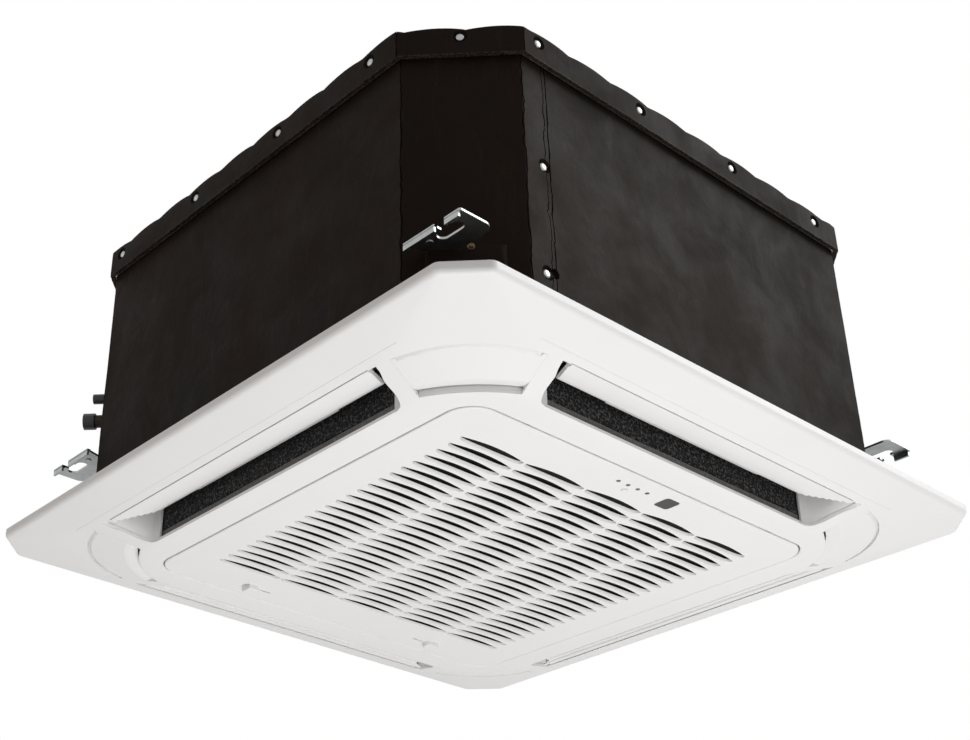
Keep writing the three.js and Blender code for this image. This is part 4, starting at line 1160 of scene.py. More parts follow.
def grille_tray(grille):
    """The grille's face and upright walls, with a rounded outer edge."""
    face = -grille.face_depth
    floor = face + grille.floor
    top = -grille.top_depth
    half = grille.half
    radius = grille.radius
    inside = half - grille.wall
    rings = [
        level(round_square(half - 0.0014, radius - 0.0014), face),
        level(round_square(half - 0.0008, radius - 0.0008), face + 0.00012),
        level(round_square(half - 0.0003, radius - 0.0003), face + 0.0005),
        level(round_square(half, radius), face + 0.0012),
        level(round_square(half, radius), top),
        level(round_square(inside, radius - grille.wall), top),
        level(round_square(inside, radius - grille.wall), floor),
    ]
    return loft(rings)


def grille_holes(grille):
    """The openings for the latches, lights, button and receiver window."""
    low = -grille.face_depth - 0.002
    high = -grille.face_depth + grille.floor + 0.001
    tools = []
    half = grille.latch_slot / 2
    for side in (-1, 1):
        ends = sorted((side * (grille.latch_y - 0.003), side * (grille.latch_y - 0.0245)))
        x = grille.latch_x
        tools.append(block((x - half, ends[0], low), (x + half, ends[1], high)))
        tools.append(finger_hollow(grille, side))
    for index in range(4):
        y = grille.light_y + index * grille.light_pitch
        tools.append(moved_prism(grille.light_x, y, grille.light_radius, low, high))
    tools.append(
        moved_prism(grille.button_x, grille.button_y, grille.button_radius, low, high)
    )
    window = round_square(grille.window_half, 0.0033, 6)
    shifted = [p + Vector((grille.window_x, grille.window_y)) for p in window]
    tools.append(prism(shifted, low, high))
    return tools


def finger_hollow(grille, side):
    """The shallow wedge beside a latch's tab."""
    x = grille.latch_x
    face = -grille.face_depth
    near = side * (grille.latch_y + 0.0045)
    far = side * (grille.latch_y + 0.0120)
    rings = []
    for edge in (x - 0.0045, x + 0.0045):
        corners = ((near, face - 0.001), (far, face - 0.001), (far, face), (near, face + 0.0019))
        rings.append([Vector((edge, y, z)) for y, z in corners])
    return loft(rings)


def latch_tab(grille, side):
    """A latch: a round-ended tab on the face, its stem, and the plate behind the face."""
    x = grille.latch_x
    radius = grille.latch_radius
    face = -grille.face_depth
    middle = side * (grille.latch_y - 0.003)
    flat = side * (grille.latch_y + 0.0042)

    def outline(inset):
        reach = radius - inset
        end = flat - side * inset
        round_end = arc(x, middle, reach, 0, -side * 180, 20)
        return [*round_end, Vector((x - reach, end)), Vector((x + reach, end))]

    rings = [
        level(outline(0.0), face - 0.0001),
        level(outline(0.0002), face - grille.latch_height + 0.0006),
        level(outline(0.0005), face - grille.latch_height + 0.0002),
        level(outline(0.0010), face - grille.latch_height),
    ]
    floor = face + grille.floor
    stem = sorted((side * (grille.latch_y - 0.0035), side * (grille.latch_y - 0.0125)))
    narrow = grille.latch_slot / 2 - 0.0002
    plate = floor + 0.0003
    ends = sorted((side * (grille.latch_y - 0.0090), side * (grille.latch_y + 0.0090)))
    return [
        loft(rings),
        block((x - narrow, stem[0], face - 0.0002), (x + narrow, stem[1], plate + 0.0002)),
        block((x - 0.009, ends[0], plate), (x + 0.009, ends[1], plate + 0.0014)),
    ]


def moved_prism(x, y, radius, low, high):
    """A round upright prism at a place."""
    return prism(arc(x, y, radius, 0, 352.5, 47), low, high)


def grille_ears(grille):
    """The pairs of round ears, with the curved tracks that ride on the hinge pins."""
    x = grille.swing_x
    z = -grille.swing_depth
    floor = -grille.face_depth + grille.floor
    discs = []
    tracks = []
    start = math.degrees(grille.track_start) + TRACK_ROOM
    end = math.degrees(grille.track_start - grille.track_range) - TRACK_ROOM
    outer = arc(x, z, grille.track_radius + grille.track_half, start, end, 24)
    inner = arc(x, z, grille.track_radius - grille.track_half, end, start, 24)
    for side in (-1, 1):
        for offset in (-grille.ear_offset, grille.ear_offset):
            y = side * grille.hinge_y + offset
            disc = arc(x, z, grille.ear_radius, 5, 175, 40)
            discs.append(along_y(disc, y - grille.ear_half, y + grille.ear_half))
            tracks.append(along_y(outer + inner, y - 0.003, y + 0.003))
    near = x - 2 * grille.ear_radius
    kept = block((near, -grille.half, floor - 0.0005), (grille.half - 0.0002, grille.half, 0))
    return cut(common(together(discs), kept), *tracks)


def lug_rooms(grille):
    """The notches in the grille's wall where the lugs stand."""
    x, _ = hinge_pin(grille)
    rooms = []
    for side in (-1, 1):
        y = side * grille.hinge_y
        half = grille.lug_half + 0.0005
        low = (x - grille.lug_radius - 0.001, y - half, 0.0016 - grille.face_depth)
        rooms.append(block(low, (grille.half + 0.001, y + half, 0)))
    return rooms


def pin_rooms(grille):
    """The notches in the grille's wall that the hinge pins swing through."""
    x = grille.half - grille.wall - 0.001
    reach = grille.pin_half + 0.001
    rooms = []
    for side in (-1, 1):
        y = side * grille.hinge_y
        low = (x, y - reach, grille.floor - grille.face_depth)
        rooms.append(block(low, (grille.half + 0.001, y + reach, 0)))
    return rooms


# ---------------------------------------------------------------- body


def face_outline(half, chamfer, radius, per_face=14):
    """A chamfered square with extra points along each face."""
    corners = chamfered_square(half, chamfer, radius, 7)
    outline = []
    for i, start in enumerate(corners):
        end = corners[(i + 1) % len(corners)]
        steps = per_face if (end - start).length > 0.05 else 1
        outline += [start.lerp(end, k / steps) for k in range(steps)]
    return outline


def wavy(points, amount, scale=14.0):
    """Level points pushed in and out a little, as foam sheet lies on a wall."""
    pushed = []
    for p in points:
        out = Vector((p.x, p.y, 0)).normalized()
        pushed.append(p + out * (noise.noise(p * scale) * amount))
    return pushed


def foam_jacket(body):
    """The foam sheet round the body."""
    outer = face_outline(body.foam_half, body.foam_chamfer, body.corner)
    inner = face_outline(body.foam_half - body.foam, body.foam_chamfer - 0.002, body.corner)
    levels = 14
    rise = (body.top - body.bottom) / levels
    heights = [body.bottom + rise * index for index in range(levels + 1)]
    rings = [wavy(level(outer, z), body.waviness) for z in heights]
    rings += [level(inner, z) for z in reversed(heights)]
    return loft(rings, closed=True)


def crease(x, y, direction, width, depth, low, high, wander=0.0007):
    """A narrow wandering upright groove, cut along a face."""
    out = Vector(direction).normalized()
    along = Vector((-out.y, out.x))
    rings = []
    steps = 90
    for index in range(steps + 1):
        z = low + (high - low) * index / steps
        slow = noise.noise(Vector((x, y, z)) * 60)
        quick = noise.noise(Vector((y, z, x)) * 210)
        shift = (slow + quick) * wander
        wide = width * (0.6 + 0.8 * abs(noise.noise(Vector((y, x, z)) * 90)))
        middle = Vector((x, y)) + along * shift
        corners = [
            middle - along * wide / 2 - out * depth * 0.2,
            middle - out * depth,
            middle + along * wide / 2 - out * depth * 0.2,
            middle + along * wide + out * 0.004,
            middle - along * wide + out * 0.004,
        ]
        rings.append([Vector((p.x, p.y, z)) for p in corners])
    return loft(rings)


def chamfer_corners(half, chamfer):
    """The eight corners of a chamfered square, each with the way that it faces."""
    near = half - chamfer
    corners = []
    for quarter in range(4):
        turn = Matrix.Rotation(quarter * QUARTER, 2)
        corners.append((turn @ Vector((half, near)), turn @ Vector((1, 0.4))))
        corners.append((turn @ Vector((near, half)), turn @ Vector((0.4, 1))))
    return corners


def body_creases(body):
    """The creases where the foam turns each corner, and the two beside the side's seam."""
    top = body.top + 0.01
    depth = 0.0022
    tools = []
    for place, way in chamfer_corners(body.foam_half, body.foam_chamfer):
        tools.append(crease(place.x, place.y, way, 0.0013, depth, 0.0, top, 0.0016))
    y = body.seam_y
    half = body.foam_half
    tools.append(crease(half, y, (1, 0), 0.0013, depth, 0.0, top, 0.0012))
    tools.append(crease(half, y - 0.0042, (1, 0), 0.0009, depth, 0.0, top, 0.0022))
    return tools


def scalloped(outline, body, depth):
    """The band's upper edge, waved along each face."""
    points = []
    run = 0.0
    for i, p in enumerate(outline):
        run += (p - outline[i - 1]).length
        wave = abs(math.sin(math.pi * run / body.scallop)) ** 0.6
        points.append(Vector((p.x, p.y, body.band_top - depth * (1 - wave))))
    return points


def top_band(body):
    """The foam band round the top, with its waved edge and ragged foot."""
    depth = body.scallop_depth
    radius = 0.0008
    outer = face_outline(body.band_half, body.band_chamfer, radius, 64)
    eased = face_outline(body.band_half - 0.0006, body.band_chamfer, radius, 64)
    inner = face_outline(body.band_half - body.band, body.band_chamfer - 0.002, radius, 64)
    low = body.band_bottom
    ragged = [
        p + Vector((0, 0, noise.noise(p * 240) * 0.0007)) for p in level(outer, low)
    ]
    rings = [
        ragged,
        wavy(level(outer, low + 0.001), 0.0003),
        wavy(level(outer, (low + body.band_top) / 2), 0.0004),
        [p - Vector((0, 0, 0.0012)) for p in scalloped(outer, body, depth)],
        scalloped(eased, body, depth),
        level(inner, body.band_top - depth - 0.0005),
        level(inner, low + 0.0008),
    ]
    return loft(rings, closed=True)


def band_seams(body):
    """The upright seams at the band's corners."""
    low = body.band_bottom - 0.01
    high = body.band_top + 0.01
    tools = []
    for place, way in chamfer_corners(body.band_half, body.band_chamfer):
        tools.append(crease(place.x, place.y, way, body.seam, 0.003, low, high, 0.0002))
    return tools


def top_sheet(body):
    """The foam sheet over the lid."""
    half = body.band_half - body.band + 0.0004
    outline = face_outline(half, body.band_chamfer - 0.002, 0.0008, 8)
    low = body.band_top - 0.0029
    high = body.band_top - body.scallop_depth - 0.0002
    return prism(outline, low, high)


# ---------------------------------------------------------------- screws


def pan_head(screw):
    """A pan head screw standing on Z = 0, with its cross recess."""
    radius = screw.head_radius
    height = screw.head_height
    profile = [
        (0, -0.001),
        (radius, -0.001),
        (radius, height * 0.30),
        (radius * 0.95, height * 0.55),
        (radius * 0.80, height * 0.80),
        (radius * 0.52, height * 0.95),
        (0, height),
    ]
    wide = screw.cross_width / 2
    long = screw.cross_half
    low = height * 0.35
    arms = [
        block((-long, -wide, low), (long, wide, height + 0.001)),
        block((-wide, -long, low), (wide, long, height + 0.001)),
    ]
    return cut(turned(profile), *arms)


def facing(place, out, spin=0.0):
    """The matrix that stands something made on Z at a place, facing outwards."""
    turn = Vector(out).to_track_quat("Z", "Y").to_matrix().to_4x4()
    return Matrix.Translation(place) @ turn @ Matrix.Rotation(spin, 4, "Z")


def band_screw_places(body, screw):
    """Where the band's screws sit, and which way each faces."""
    places = []
    half = body.band_half
    middle = (2 * half - body.band_chamfer) / 2
    for index, along in enumerate((-0.197, -0.071, 0.055, 0.180)):
        for quarter in range(4):
            turn = quarter_turn(quarter)
            spot = Vector((half, along, screw.band_height - 0.001 * (index % 2)))
            places.append((turn @ spot, turn @ Vector((1, 0, 0)), 0.4 * index + quarter))
    for quarter in range(4):
        turn = quarter_turn(quarter)
        spot = Vector((middle, -middle, screw.band_height + 0.0005))
        places.append((turn @ spot, turn @ Vector((1, -1, 0)), 0.75))
    return places


def side_screw_places(body):
    """The two screws beside the side seam."""
    out = Vector((1, 0, 0))
    return [
        (Vector((body.foam_half, -0.192, 0.1555)), out, 0.3),
        (Vector((body.foam_half, -0.195, 0.0535)), out, 1.1),
    ]


def dent(place, out, radius, depth):
    """A shallow round dent with sloping sides, to be cut from the foam."""
    profile = [(0, -depth), (radius * 0.72, -depth), (radius, 0.0003), (radius, 0.004), (0, 0.004)]
    return moved(turned(profile, 20), facing(place, out))


# ---------------------------------------------------------------- hanger brackets


def bracket_reach(body):
    """The value of x - y on the body's chamfer beside the (+X -Y) corner."""
    return 2 * body.foam_half - body.foam_chamfer


def bracket_plate(body, bracket):
    """The (+X -Y) bracket: a plate with a lipped edge, a rod slot and a hidden foot."""
    reach = bracket_reach(body)
    top = bracket.top
    low = top - bracket.thickness
    corner = bracket.corner
    outline = [
        Vector((reach - bracket.back_y - 0.012, -bracket.back_y - 0.012)),
        Vector((bracket.free_x, -bracket.out_y)),
        *arc(bracket.out_x - 0.002, 0.002 - bracket.out_y, 0.002, -90, 0, 6),
        *arc(bracket.out_x - corner, -bracket.back_y - corner, corner, 0, 90, 12),
        Vector((reach - bracket.back_y, -bracket.back_y)),
    ]
    end = bracket.slot_half - bracket.slot_radius
    slot = arc(bracket.slot_x + end, -bracket.slot_y, bracket.slot_radius, -90, 90, 16)
    slot += arc(bracket.slot_x - end, -bracket.slot_y, bracket.slot_radius, 90, 270, 16)
    mouth = [bracket.mouth_x - bracket.mouth_half, bracket.mouth_x + bracket.mouth_half]
    plate = cut(prism(outline, low, top), prism(slot, low - 0.001, top + 0.001))
    corner_low = (mouth[0], -bracket.out_y - 0.001, low - 0.001)
    plate = cut(plate, block(corner_low, (mouth[1], -bracket.slot_y, top + 0.001)))
    lips = [
        rolled_lip(bracket, bracket.free_x, mouth[0]),
        rolled_lip(bracket, mouth[1], bracket.out_x - 0.002),
    ]
    return [plate, *lips, pressed_mark(bracket), bracket_foot(reach, bracket)]


def pressed_mark(bracket):
    """The small round dimple under the plate, beside the rod slot."""
    low = bracket.top - bracket.thickness
    place = Matrix.Translation((bracket.slot_x - 0.021, -bracket.slot_y - 0.001, low))
    dimple = turned(((0, -0.0004), (0.003, -0.0004), (0.0026, 0.0007), (0, 0.0007)), 20)
    return moved(dimple, place @ Matrix.Rotation(math.pi, 4, "X"))


def rolled_lip(bracket, first, last):
    """A lip turned down from the plate's edge round a small radius."""
    y = -bracket.out_y
    top = bracket.top
    under = top - bracket.lip
    section = [
        (y + 0.0035, top),
        (y + 0.0014, top),
        (y + 0.0004, top - 0.0004),
        (y, top - 0.0014),
        (y, under),
        (y + bracket.thickness, under),
        (y + bracket.thickness, top - bracket.thickness),
        (y + 0.0035, top - bracket.thickness),
    ]
    return loft([[Vector((x, v, z)) for v, z in section] for x in (first, last)])


def on_chamfer(distance):
    """The matrix from (along, out, up) to the body's (+X -Y) chamfer."""
    turn = Matrix.Rotation(math.radians(-45), 4, "Z")
    return turn @ Matrix.Translation((distance, 0, 0))


def bracket_foot(reach, bracket):
    """The foot that hangs from the plate against the body's chamfer."""
    half = bracket.foot_half
    thin = bracket.thickness
    foot = block((0, -half, bracket.top - bracket.foot), (thin, half, bracket.top))
    return moved(foot, on_chamfer(reach / math.sqrt(2) + 0.0003))


def foot_patch(body, bracket):
    """The foam sheet over a bracket's foot, thinning out at its edges."""
    distance = bracket_reach(body) / math.sqrt(2) + 0.0003
    half = bracket.foot_half
    low = bracket.top - bracket.foot
    high = bracket.top + 0.001
    thick = bracket.thickness + bracket.patch
    profile = [(0.004, -0.001), (0.0038, 0.0004), (0.0012, thick - 0.0006), (-0.002, thick)]
    rings = []
    for grow, out in profile:
        corners = (
            (-half - grow, low - grow),
            (half + grow, low - grow),
            (half + grow, high + grow * 0.4),
            (-half - grow, high + grow * 0.4),
        )
        rings.append([Vector((out, along, up)) for along, up in corners])
    return moved(loft(rings), on_chamfer(distance))


# ---------------------------------------------------------------- operators


class CassetteOperator:
    """What every builder shares."""

    bl_options = {"REGISTER", "UNDO"}

    @property
    def settings(self):
        """The sizes and colours set on the scene."""
        return bpy.context.scene.cassette


class BuildPanel(CassetteOperator, bpy.types.Operator):
    """Builds the decoration panel with its ducts, collar and hinge lugs"""

    bl_idname = "cassette.build_panel"
    bl_label = "Decoration panel"

    def execute(self, context):
        sizes = self.settings
        panel = sizes.panel
        recess = recess_tool(panel)
        covers = prism(cover_outline(sizes.cover, sizes.cover.gap), -0.05, -0.014)
        skin = cut(
            panel_skin(panel),
            recess,
            *four_ways(outlet_passage(sizes.outlet)),
            *four_ways(covers),
        )
        parts = [skin, *four_ways(outlet_duct(panel, sizes.outlet))]
        parts += collar_and_deck(panel, sizes.outlet)
        parts += four_ways(pocket_back(panel, sizes.cover))
        parts += hinge_lugs(panel, sizes.grille)
        white = material("white_plastic")
        piece("panel", together(parts), "root", white, ["panel_frame"])
        return {"FINISHED"}


def pocket_back(panel, cover):
    """The panel's upright wall behind the (+X -Y) cover's finger pocket."""
    radii = [cover.inner_radius - 0.0023, cover.inner_radius - 0.0004]
    span = (-70, -20)
    grids = [
        curved_grid(panel, cover.inner_centre, radii, span, [lift, lift])
        for lift in (0.0006, 0.0125)
    ]
    return sheet_between(*grids)


class BuildCovers(CassetteOperator, bpy.types.Operator):
    """Builds the four corner covers with their finger pockets"""

    bl_idname = "cassette.build_covers"
    bl_label = "Corner covers"

    def execute(self, context):
        sizes = self.settings
        cover = sizes.cover
        white = material("white_plastic")
        for index in range(4):
            made = common(panel_skin(sizes.panel), prism(cover_outline(cover), -0.05, -0.0145))
            made = cut(made, self.opening(cover), self.groove(sizes))
            made = together([made, *self.pocket(sizes)])
            moved(made, quarter_turn(index))
            number = index + 1
            name = f"corner_cover_{number}"
            piece(f"cover_{number}", made, "root", white, [name])
        return {"FINISHED"}

    def opening(self, cover):
        """What the finger pocket takes out of the cover's face."""
        centre = cover.inner_centre
        low = cover.inner_radius - 0.002
        high = cover.inner_radius + cover.pocket_width
        outline = arc(centre, -centre, high, -67, -23, 24)
        outline += arc(centre, -centre, low, -23, -67, 24)
        return prism(outline, -0.06, 0.0)

    def groove(self, sizes):
        """The band that sinks towards the cover's outer arc."""
        cover = sizes.cover
        shares = (-0.3, 0.0, 0.35, 0.7, 1.0)
        radii = [cover.outer_radius - share * cover.groove_width for share in shares]
        lifts = [cover.groove_depth * (1 - max(share, 0)) for share in shares]
        below = [-0.01] * len(shares)
        span = (-78.5, -11.5)
        grids = [
            curved_grid(sizes.panel, cover.outer_centre, radii, span, heights)
            for heights in (below, lifts)
        ]
        return sheet_between(*grids)

    def pocket(self, sizes):
        """The finger pocket: a sheet that sinks towards the inner arc, and its two ends."""
        cover = sizes.cover
        sheets = [
            (0.09, (-67, -23), 0.0),
            (0.02, (-68.2, -66.9), 0.001),
            (0.02, (-23.1, -21.8), 0.001),
        ]
        made = []
        for first, span, under in sheets:
            shares = [first + (1 - first) * step / 6 for step in range(7)]
            radii = [cover.inner_radius + share * cover.pocket_width for share in shares]
            lifts = [cover.pocket_depth * (1 - share) ** 1.25 for share in shares]
            over = [lift + cover.pocket_wall for lift in lifts]
            lower = lifts if not under else [under] * len(shares)
            grids = [
                curved_grid(sizes.panel, cover.inner_centre, radii, span, heights)
                for heights in (lower, over)
            ]
            made.append(sheet_between(*grids))
        return made


def curved_grid(panel, centre, radii, span, lifts):
    """Rows of points on arcs above the underside, each row lifted by its own height."""
    rows = []
    for radius, lift in zip(radii, lifts):
        line = arc(centre, -centre, radius, *span, 24)
        rows.append([Vector((p.x, p.y, lift - depth_below_corner(panel, p))) for p in line])
    return rows


def depth_below_corner(panel, p):
    """How deep the round corner of the underside lies under a point."""
    flat = panel.flat_half - panel.flat_radius
    ring = panel.round_half - panel.round_radius
    x, y = abs(p.x), abs(p.y)
    narrow = math.hypot(max(x - flat, 0), max(y - flat, 0)) - panel.flat_radius
    wide = math.hypot(max(x - ring, 0), max(y - ring, 0)) - panel.round_radius
    if narrow <= 0:
        return panel.depth
    share = narrow / (narrow - wide) if wide < 0 else 1.0
    out = panel.flat_half + (panel.round_half - panel.flat_half) * share
    return depth_below(panel, min(out, panel.round_half))


def sheet_between(low, high):
    """A closed skin between two matching grids of points."""
    made = bmesh.new()
    grids = [[[made.verts.new(p) for p in row] for row in grid] for grid in (low, high)]
    for grid in grids:
        for row, following in zip(grid, grid[1:]):
            for i in range(len(row) - 1):
                made.faces.new((row[i], row[i + 1], following[i + 1], following[i]))
    below, above = grids
    for first, second in ((below[0], above[0]), (below[-1], above[-1])):
        for i in range(len(first) - 1):
            made.faces.new((first[i], first[i + 1], second[i + 1], second[i]))
    for end in (0, -1):
        for i in range(len(below) - 1):
            made.faces.new((below[i][end], below[i + 1][end], above[i + 1][end], above[i][end]))
    bmesh.ops.recalc_face_normals(made, faces=made.faces)
    return made


class BuildFlaps(CassetteOperator, bpy.types.Operator):
    """Builds the four ribbed flaps"""

    bl_idname = "cassette.build_flaps"
    bl_label = "Flaps"

    def execute(self, context):
        flap = self.settings.flap
        pivot = Matrix.Translation((0, -flap.pivot_out, -flap.pivot_depth))
        tilt = Matrix.Rotation(flap.rest, 4, "X")
        ribbed = moulded("cassette_ribbed", self.settings.finish.white_plastic, 0.4, edge=0.0)
        for index, number in enumerate(SIDES):
            made = together([flap_plate(flap), flap_middle(flap), *flap_pins(flap)])
            moved(made, quarter_turn(index) @ pivot @ tilt)
            name = f"flap_{number}"
            piece(f"{name}_blade", made, name, ribbed, [name])
        return {"FINISHED"}


class BuildLiners(CassetteOperator, bpy.types.Operator):
    """Builds the foam liners in the outlets, with a grey strip along the foot of each"""

    bl_idname = "cassette.build_liners"
    bl_label = "Outlet liners"

    def execute(self, context):
        sizes = self.settings
        outlet = sizes.outlet
        finish = sizes.finish
        speckled = speckled_foam("cassette_liner", finish.liner, finish.liner_edge)
        pale = shaded(finish.liner_edge, 1.8)
        edge = speckled_foam("cassette_liner_edge", finish.liner_edge, pale)
        for index, number in enumerate(SIDES):
            turn = quarter_turn(index)
            foot = self.strip(outlet, -outlet.liner_foot, outlet.liner_edge - outlet.liner_foot)
            wall = self.strip(outlet, outlet.liner_edge - outlet.liner_foot + 0.0003, 0.017)
            name = f"outlet_liner_{number}"
            wall = moved(wall, turn)
            piece(f"liner_{number}", wall, "root", speckled, [name])
            piece(f"liner_edge_{number}", moved(foot, turn), "root", edge)
        return {"FINISHED"}

    def strip(self, outlet, low, high):
        """A soft-edged strip of the liner between two heights."""
        front = -outlet.inner + outlet.liner_inset
        back = front + outlet.liner_thickness
        half = outlet.liner_half
        soft = 0.0006
        rings = []
        steps = 40
        for index in range(steps + 1):
            x = -half + 2 * half * index / steps
            shift = noise.noise(Vector((x * 30, low * 50, 0))) * 0.0004
            corners = [
                (front + soft, low),
                (back, low),
                (back, high),
                (front + soft, high),
                (front, high - soft),
                (front, low + soft),
            ]
            rings.append([Vector((x, y, z + shift)) for y, z in corners])
        return loft(rings)


class BuildGrille(CassetteOperator, bpy.types.Operator):
    """Builds the intake grille with its rows of curved slots"""

    bl_idname = "cassette.build_grille"
    bl_label = "Intake grille"

    def execute(self, context):
        grille = self.settings.grille
        tools = grille_holes(grille)
        for row in range(grille.rows):
            for column in range(grille.columns):
                x = grille.first_x - row * grille.row_pitch
                y = grille.first_y + column * grille.column_pitch
                tools.append(slot_tool(grille, x, y))
        made = cut(grille_tray(grille), *tools)
        made = cut(made, *lug_rooms(grille))
        made = cut(made, *pin_rooms(grille))
        made = together([made, grille_ears(grille)])
        white = material("white_plastic")
        piece("grille_face", made, "grille", white, ["intake_grille"], 38)
        for number, side in ((1, -1), (2, 1)):
            tab = together(latch_tab(grille, side))
            replaced = [f"grille_latch_{number}"]
            piece(f"latch_{number}_tab", tab, f"latch_{number}", white, replaced)
        return {"FINISHED"}


class BuildBody(CassetteOperator, bpy.types.Operator):
    """Builds the foam jacket and the waved band round the top"""

    bl_idname = "cassette.build_body"
    bl_label = "Foam jacket and top band"

    def execute(self, context):
        sizes = self.settings
        body = sizes.body
        screw = sizes.screw
        finish = sizes.finish
        dents = [
            dent(place, out, screw.dent_radius, screw.dent_depth)
            for place, out, _ in side_screw_places(body)
        ]
        empty_hole = Vector((body.foam_half, -0.187, 0.056))
        hole = dent(empty_hole, (1, 0, 0), 0.0048, 0.003)
        jacket = cut(foam_jacket(body), *body_creases(body))
        jacket = cut(jacket, *dents)
        jacket = cut(jacket, hole)
        foam = material("black_foam")
        piece("foam_jacket", jacket, "root", foam, ["side_insulation"], 40)
        dents = [
            dent(place, out, screw.dent_radius, screw.dent_depth)
            for place, out, _ in band_screw_places(body, screw)
        ]
        band = cut(top_band(body), *band_seams(body))
        band = cut(band, *dents)
        band = together([band, top_sheet(body)])
        edged = foam_sheet(
            "cassette_band_foam", finish.foam, finish.cut_foam, body.band_bottom + 0.0014
        )
        piece("foam_band", band, "root", edged, ["top_insulation"], 40)
        return {"FINISHED"}


class BuildScrews(CassetteOperator, bpy.types.Operator):
    """Builds the pan head screws of the band and the side"""

    bl_idname = "cassette.build_screws"
    bl_label = "Screws"

    def execute(self, context):
        sizes = self.settings
        screw = sizes.screw
        places = band_screw_places(sizes.body, screw) + side_screw_places(sizes.body)
        head = pan_head(screw)
        copies = []
        for place, out, spin in places:
            seat = place - Vector(out).normalized() * screw.dent_depth
            copies.append(copied(head, facing(seat, out, spin)))
        head.free()
        zinc = material("zinc_steel")
        piece("screws", together(copies), "root", zinc)
        return {"FINISHED"}


class BuildBrackets(CassetteOperator, bpy.types.Operator):
    """Builds the hanger brackets, the foam over their feet and the bolts beside them"""

    bl_idname = "cassette.build_brackets"
    bl_label = "Hanger brackets"

    def execute(self, context):
        body = self.settings.body
        bracket = self.settings.bracket
        zinc = material("zinc_steel")
        foam = material("black_foam")
        patches = []
        bolts = []
        for number, (x, y) in enumerate(MIRRORS, 1):
            mirror = Matrix.Diagonal((x, y, 1, 1))
            made = mirrored(together(bracket_plate(body, bracket)), mirror)
            name = f"hanger_bracket_{number}"
            piece(f"bracket_{number}", made, "root", zinc, [name])
            patches.append(mirrored(foot_patch(body, bracket), mirror))
            bolts.append(mirrored(self.bolt(body, bracket), mirror))
        piece("bracket_patches", together(patches), "root", foam)
        bronze = plated("cassette_bronze", self.settings.finish.bronze, 0.4)
        piece("bracket_bolts", together(bolts), "root", bronze)
        return {"FINISHED"}

    def bolt(self, body, bracket):
        """A hexagon bolt head on the foam beside the plate."""
        radius = bracket.bolt_radius
        washer = ((0, 0), (radius * 1.5, 0), (radius * 1.5, 0.0006), (0, 0.0006))
        head = ((0, 0), (radius, 0), (radius, 0.0022), (radius * 0.8, 0.0027), (0, 0.0027))
        made = together([turned(washer, 24), turned(head, 6)])
        out = bracket_reach(body) / math.sqrt(2) + 0.0003 + bracket.thickness + bracket.patch
        place = on_chamfer(out) @ Matrix.Translation((0, 0.0042, bracket.top + 0.0005))
        return moved(made, place @ Matrix.Rotation(QUARTER, 4, "Y"))


class PaintFrame(CassetteOperator, bpy.types.Operator):
    """Gives every piece carried over from the CAD frame its material"""

    bl_idname = "cassette.paint_frame"
    bl_label = "Materials of the carried-over pieces"

    def execute(self, context):
        slots = {part["node"]: part["material_slot"] for part in frame["record"]["subparts"]}
        for name, carried in frame["nodes"].items():
            if not carried.data.materials:
                carried.data.materials.append(None)
            for index in range(len(carried.data.materials)):
                carried.data.materials[index] = material(slots[name])
        finish = self.settings.finish
        # Painted shade: the filter and its net take the near-black net colour, which stands in for the
        # shade inside the unit behind the slots.
        net = speckled_foam("cassette_net", finish.net, finish.liner)
        self.repaint(("filter_net", "air_filter"), net)
        dark = plated("cassette_dark_pipe", finish.dark_pipe, 0.55)
        self.repaint(("gas_pipe", "liquid_pipe"), dark)
        return {"FINISHED"}

    def repaint(self, names, finish):
        """Gives some of the carried-over pieces a finish of their own."""
        for name in names:
            slots = frame["nodes"][name].data.materials
            for index in range(len(slots)):
                slots[index] = finish


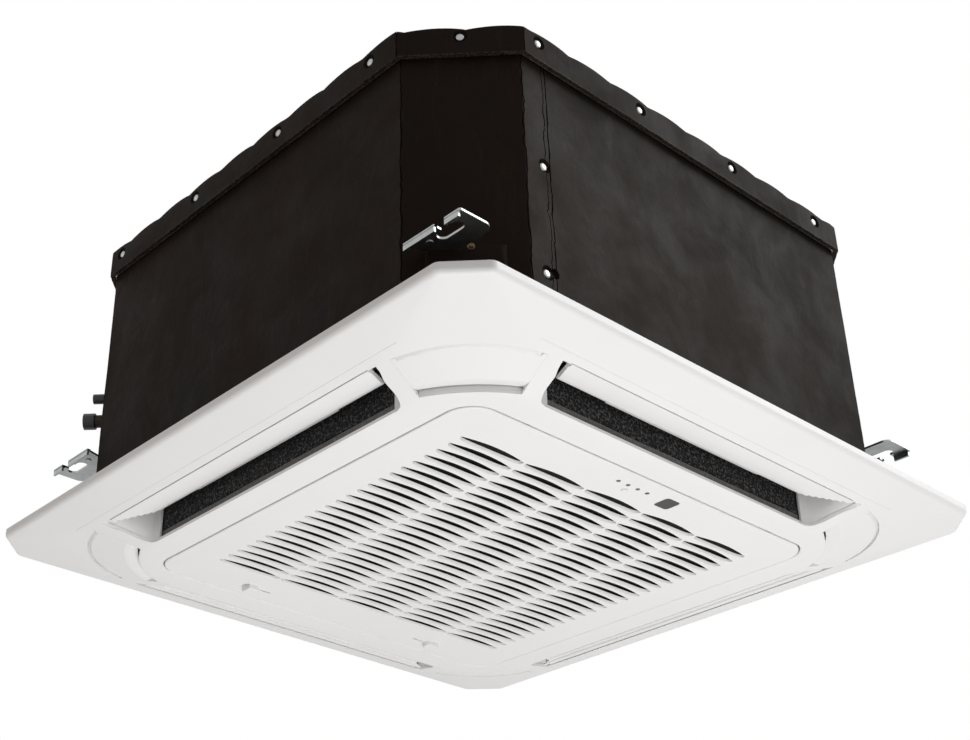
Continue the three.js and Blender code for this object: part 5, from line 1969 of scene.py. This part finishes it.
class BuildStage(CassetteOperator, bpy.types.Operator):
    """Sets up the floor, the white surround, the studio lights and the camera"""

    bl_idname = "cassette.build_stage"
    bl_label = "Stage, lights and camera"

    def execute(self, context):
        stage = self.settings.stage
        self.floor(stage)
        self.surround(context.scene)
        for lamp in LAMPS:
            self.lamp(*lamp)
        self.camera(context.scene, stage)
        return {"FINISHED"}

    def floor(self, stage):
        """A wide pale floor below the camera."""
        made, tree, shader = start_material("cassette_floor")
        fine = shared(tree, "Fine grain", Scale=40.0, Roughness=0.7, Spread=0.1)
        pale = tinted(tree, (0.82, 0.82, 0.81), (0.78, 0.78, 0.77), fine.outputs["Height"])
        tree.links.new(pale, shader.inputs["Base Color"])
        tree.links.new(fine.outputs["Roughness"], shader.inputs["Roughness"])
        glow = node(tree, "ShaderNodeEmission", Color=(1.0, 1.0, 1.0, 1.0), Strength=1.0)
        mix = node(tree, "ShaderNodeMixShader")
        tree.links.new(product(tree, seen_directly(tree), FLOOR_GLOW), mix.inputs[0])
        tree.links.new(shader.outputs["BSDF"], mix.inputs[1])
        tree.links.new(glow.outputs[0], mix.inputs[2])
        tree.links.new(mix.outputs[0], tree.nodes["Material Output"].inputs["Surface"])
        low = (-FLOOR_HALF, -FLOOR_HALF, stage.floor_height - 0.02)
        high = (FLOOR_HALF, FLOOR_HALF, stage.floor_height)
        floor = as_object(block(low, high), "floor")
        floor.data.materials.append(made)

    def surround(self, scene):
        """A white background for the camera and mirrors, and a soft grey light."""
        world = bpy.data.worlds.new("cassette_surround")
        world.use_nodes = True
        scene.world = world
        tree = world.node_tree
        tree.nodes.clear()
        soft = node(tree, "ShaderNodeBackground", Color=(0.97, 0.98, 1.0, 1.0), Strength=0.29)
        white = node(tree, "ShaderNodeBackground", Color=(1.0, 1.0, 1.0, 1.0), Strength=1.0)
        mix = node(tree, "ShaderNodeMixShader")
        end = node(tree, "ShaderNodeOutputWorld")
        tree.links.new(seen_directly(tree), mix.inputs[0])
        tree.links.new(soft.outputs[0], mix.inputs[1])
        tree.links.new(white.outputs[0], mix.inputs[2])
        tree.links.new(mix.outputs[0], end.inputs["Surface"])

    def lamp(self, name, place, target, size, power, tint):
        """A square soft light aimed at a point."""
        data = bpy.data.lights.new(name, "AREA")
        data.color = tint
        data.size = size
        data.energy = power
        made = bpy.data.objects.new(name, data)
        made.location = place
        aim = Vector(target) - Vector(place)
        made.rotation_mode = "QUATERNION"
        made.rotation_quaternion = aim.to_track_quat("-Z", "Y")
        bpy.context.scene.collection.objects.link(made)

    def camera(self, scene, stage):
        """The main camera, below the near corner and looking up."""
        data = bpy.data.cameras.new("camera")
        data.sensor_width = 36.0
        data.lens = stage.lens
        data.shift_x = stage.shift
        data.dof.use_dof = False
        made = bpy.data.objects.new("camera", data)
        level_right = Vector(CAMERA_RIGHT)
        level_up = Vector(CAMERA_UP)
        right = math.cos(CAMERA_ROLL) * level_right + math.sin(CAMERA_ROLL) * level_up
        up = math.cos(CAMERA_ROLL) * level_up - math.sin(CAMERA_ROLL) * level_right
        back = right.cross(up)
        turn = Matrix((right, up, back)).transposed()
        made.matrix_world = Matrix.Translation(CAMERA_PLACE) @ turn.to_4x4()
        scene.collection.objects.link(made)
        scene.camera = made


# ---------------------------------------------------------------- add-on


PIECE_OPERATORS = (
    PaintFrame,
    BuildPanel,
    BuildCovers,
    BuildFlaps,
    BuildLiners,
    BuildGrille,
    BuildBody,
    BuildScrews,
    BuildBrackets,
    BuildStage,
)


class CassettePanel(bpy.types.Panel):
    """Lists the builders in the 3D view's sidebar"""

    bl_idname = "VIEW3D_PT_cassette"
    bl_label = "Ceiling cassette"
    bl_space_type = "VIEW_3D"
    bl_region_type = "UI"
    bl_category = "Cassette"

    def draw(self, context):
        for builder in PIECE_OPERATORS:
            self.layout.operator(builder.bl_idname)


CLASSES = (
    PanelSizes,
    OutletSizes,
    CoverSizes,
    FlapSizes,
    GrilleSizes,
    BodySizes,
    ScrewSizes,
    BracketSizes,
    Finishes,
    StageSizes,
    CassetteSettings,
    *PIECE_OPERATORS,
    CassettePanel,
)


def register():
    """Registers the add-on's classes and its settings on the scene."""
    for entry in CLASSES:
        bpy.utils.register_class(entry)
    bpy.types.Scene.cassette = PointerProperty(type=CassetteSettings)


def unregister():
    """Removes the settings and the classes."""
    del bpy.types.Scene.cassette
    for entry in reversed(CLASSES):
        bpy.utils.unregister_class(entry)


def main():
    """Builds everything in order."""
    register()
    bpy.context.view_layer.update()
    for builder in PIECE_OPERATORS:
        family, action = builder.bl_idname.split(".")
        getattr(getattr(bpy.ops, family), action)()
    scene = bpy.context.scene
    scene.view_settings.view_transform = "Standard"


if __name__ == "__main__":
    main()
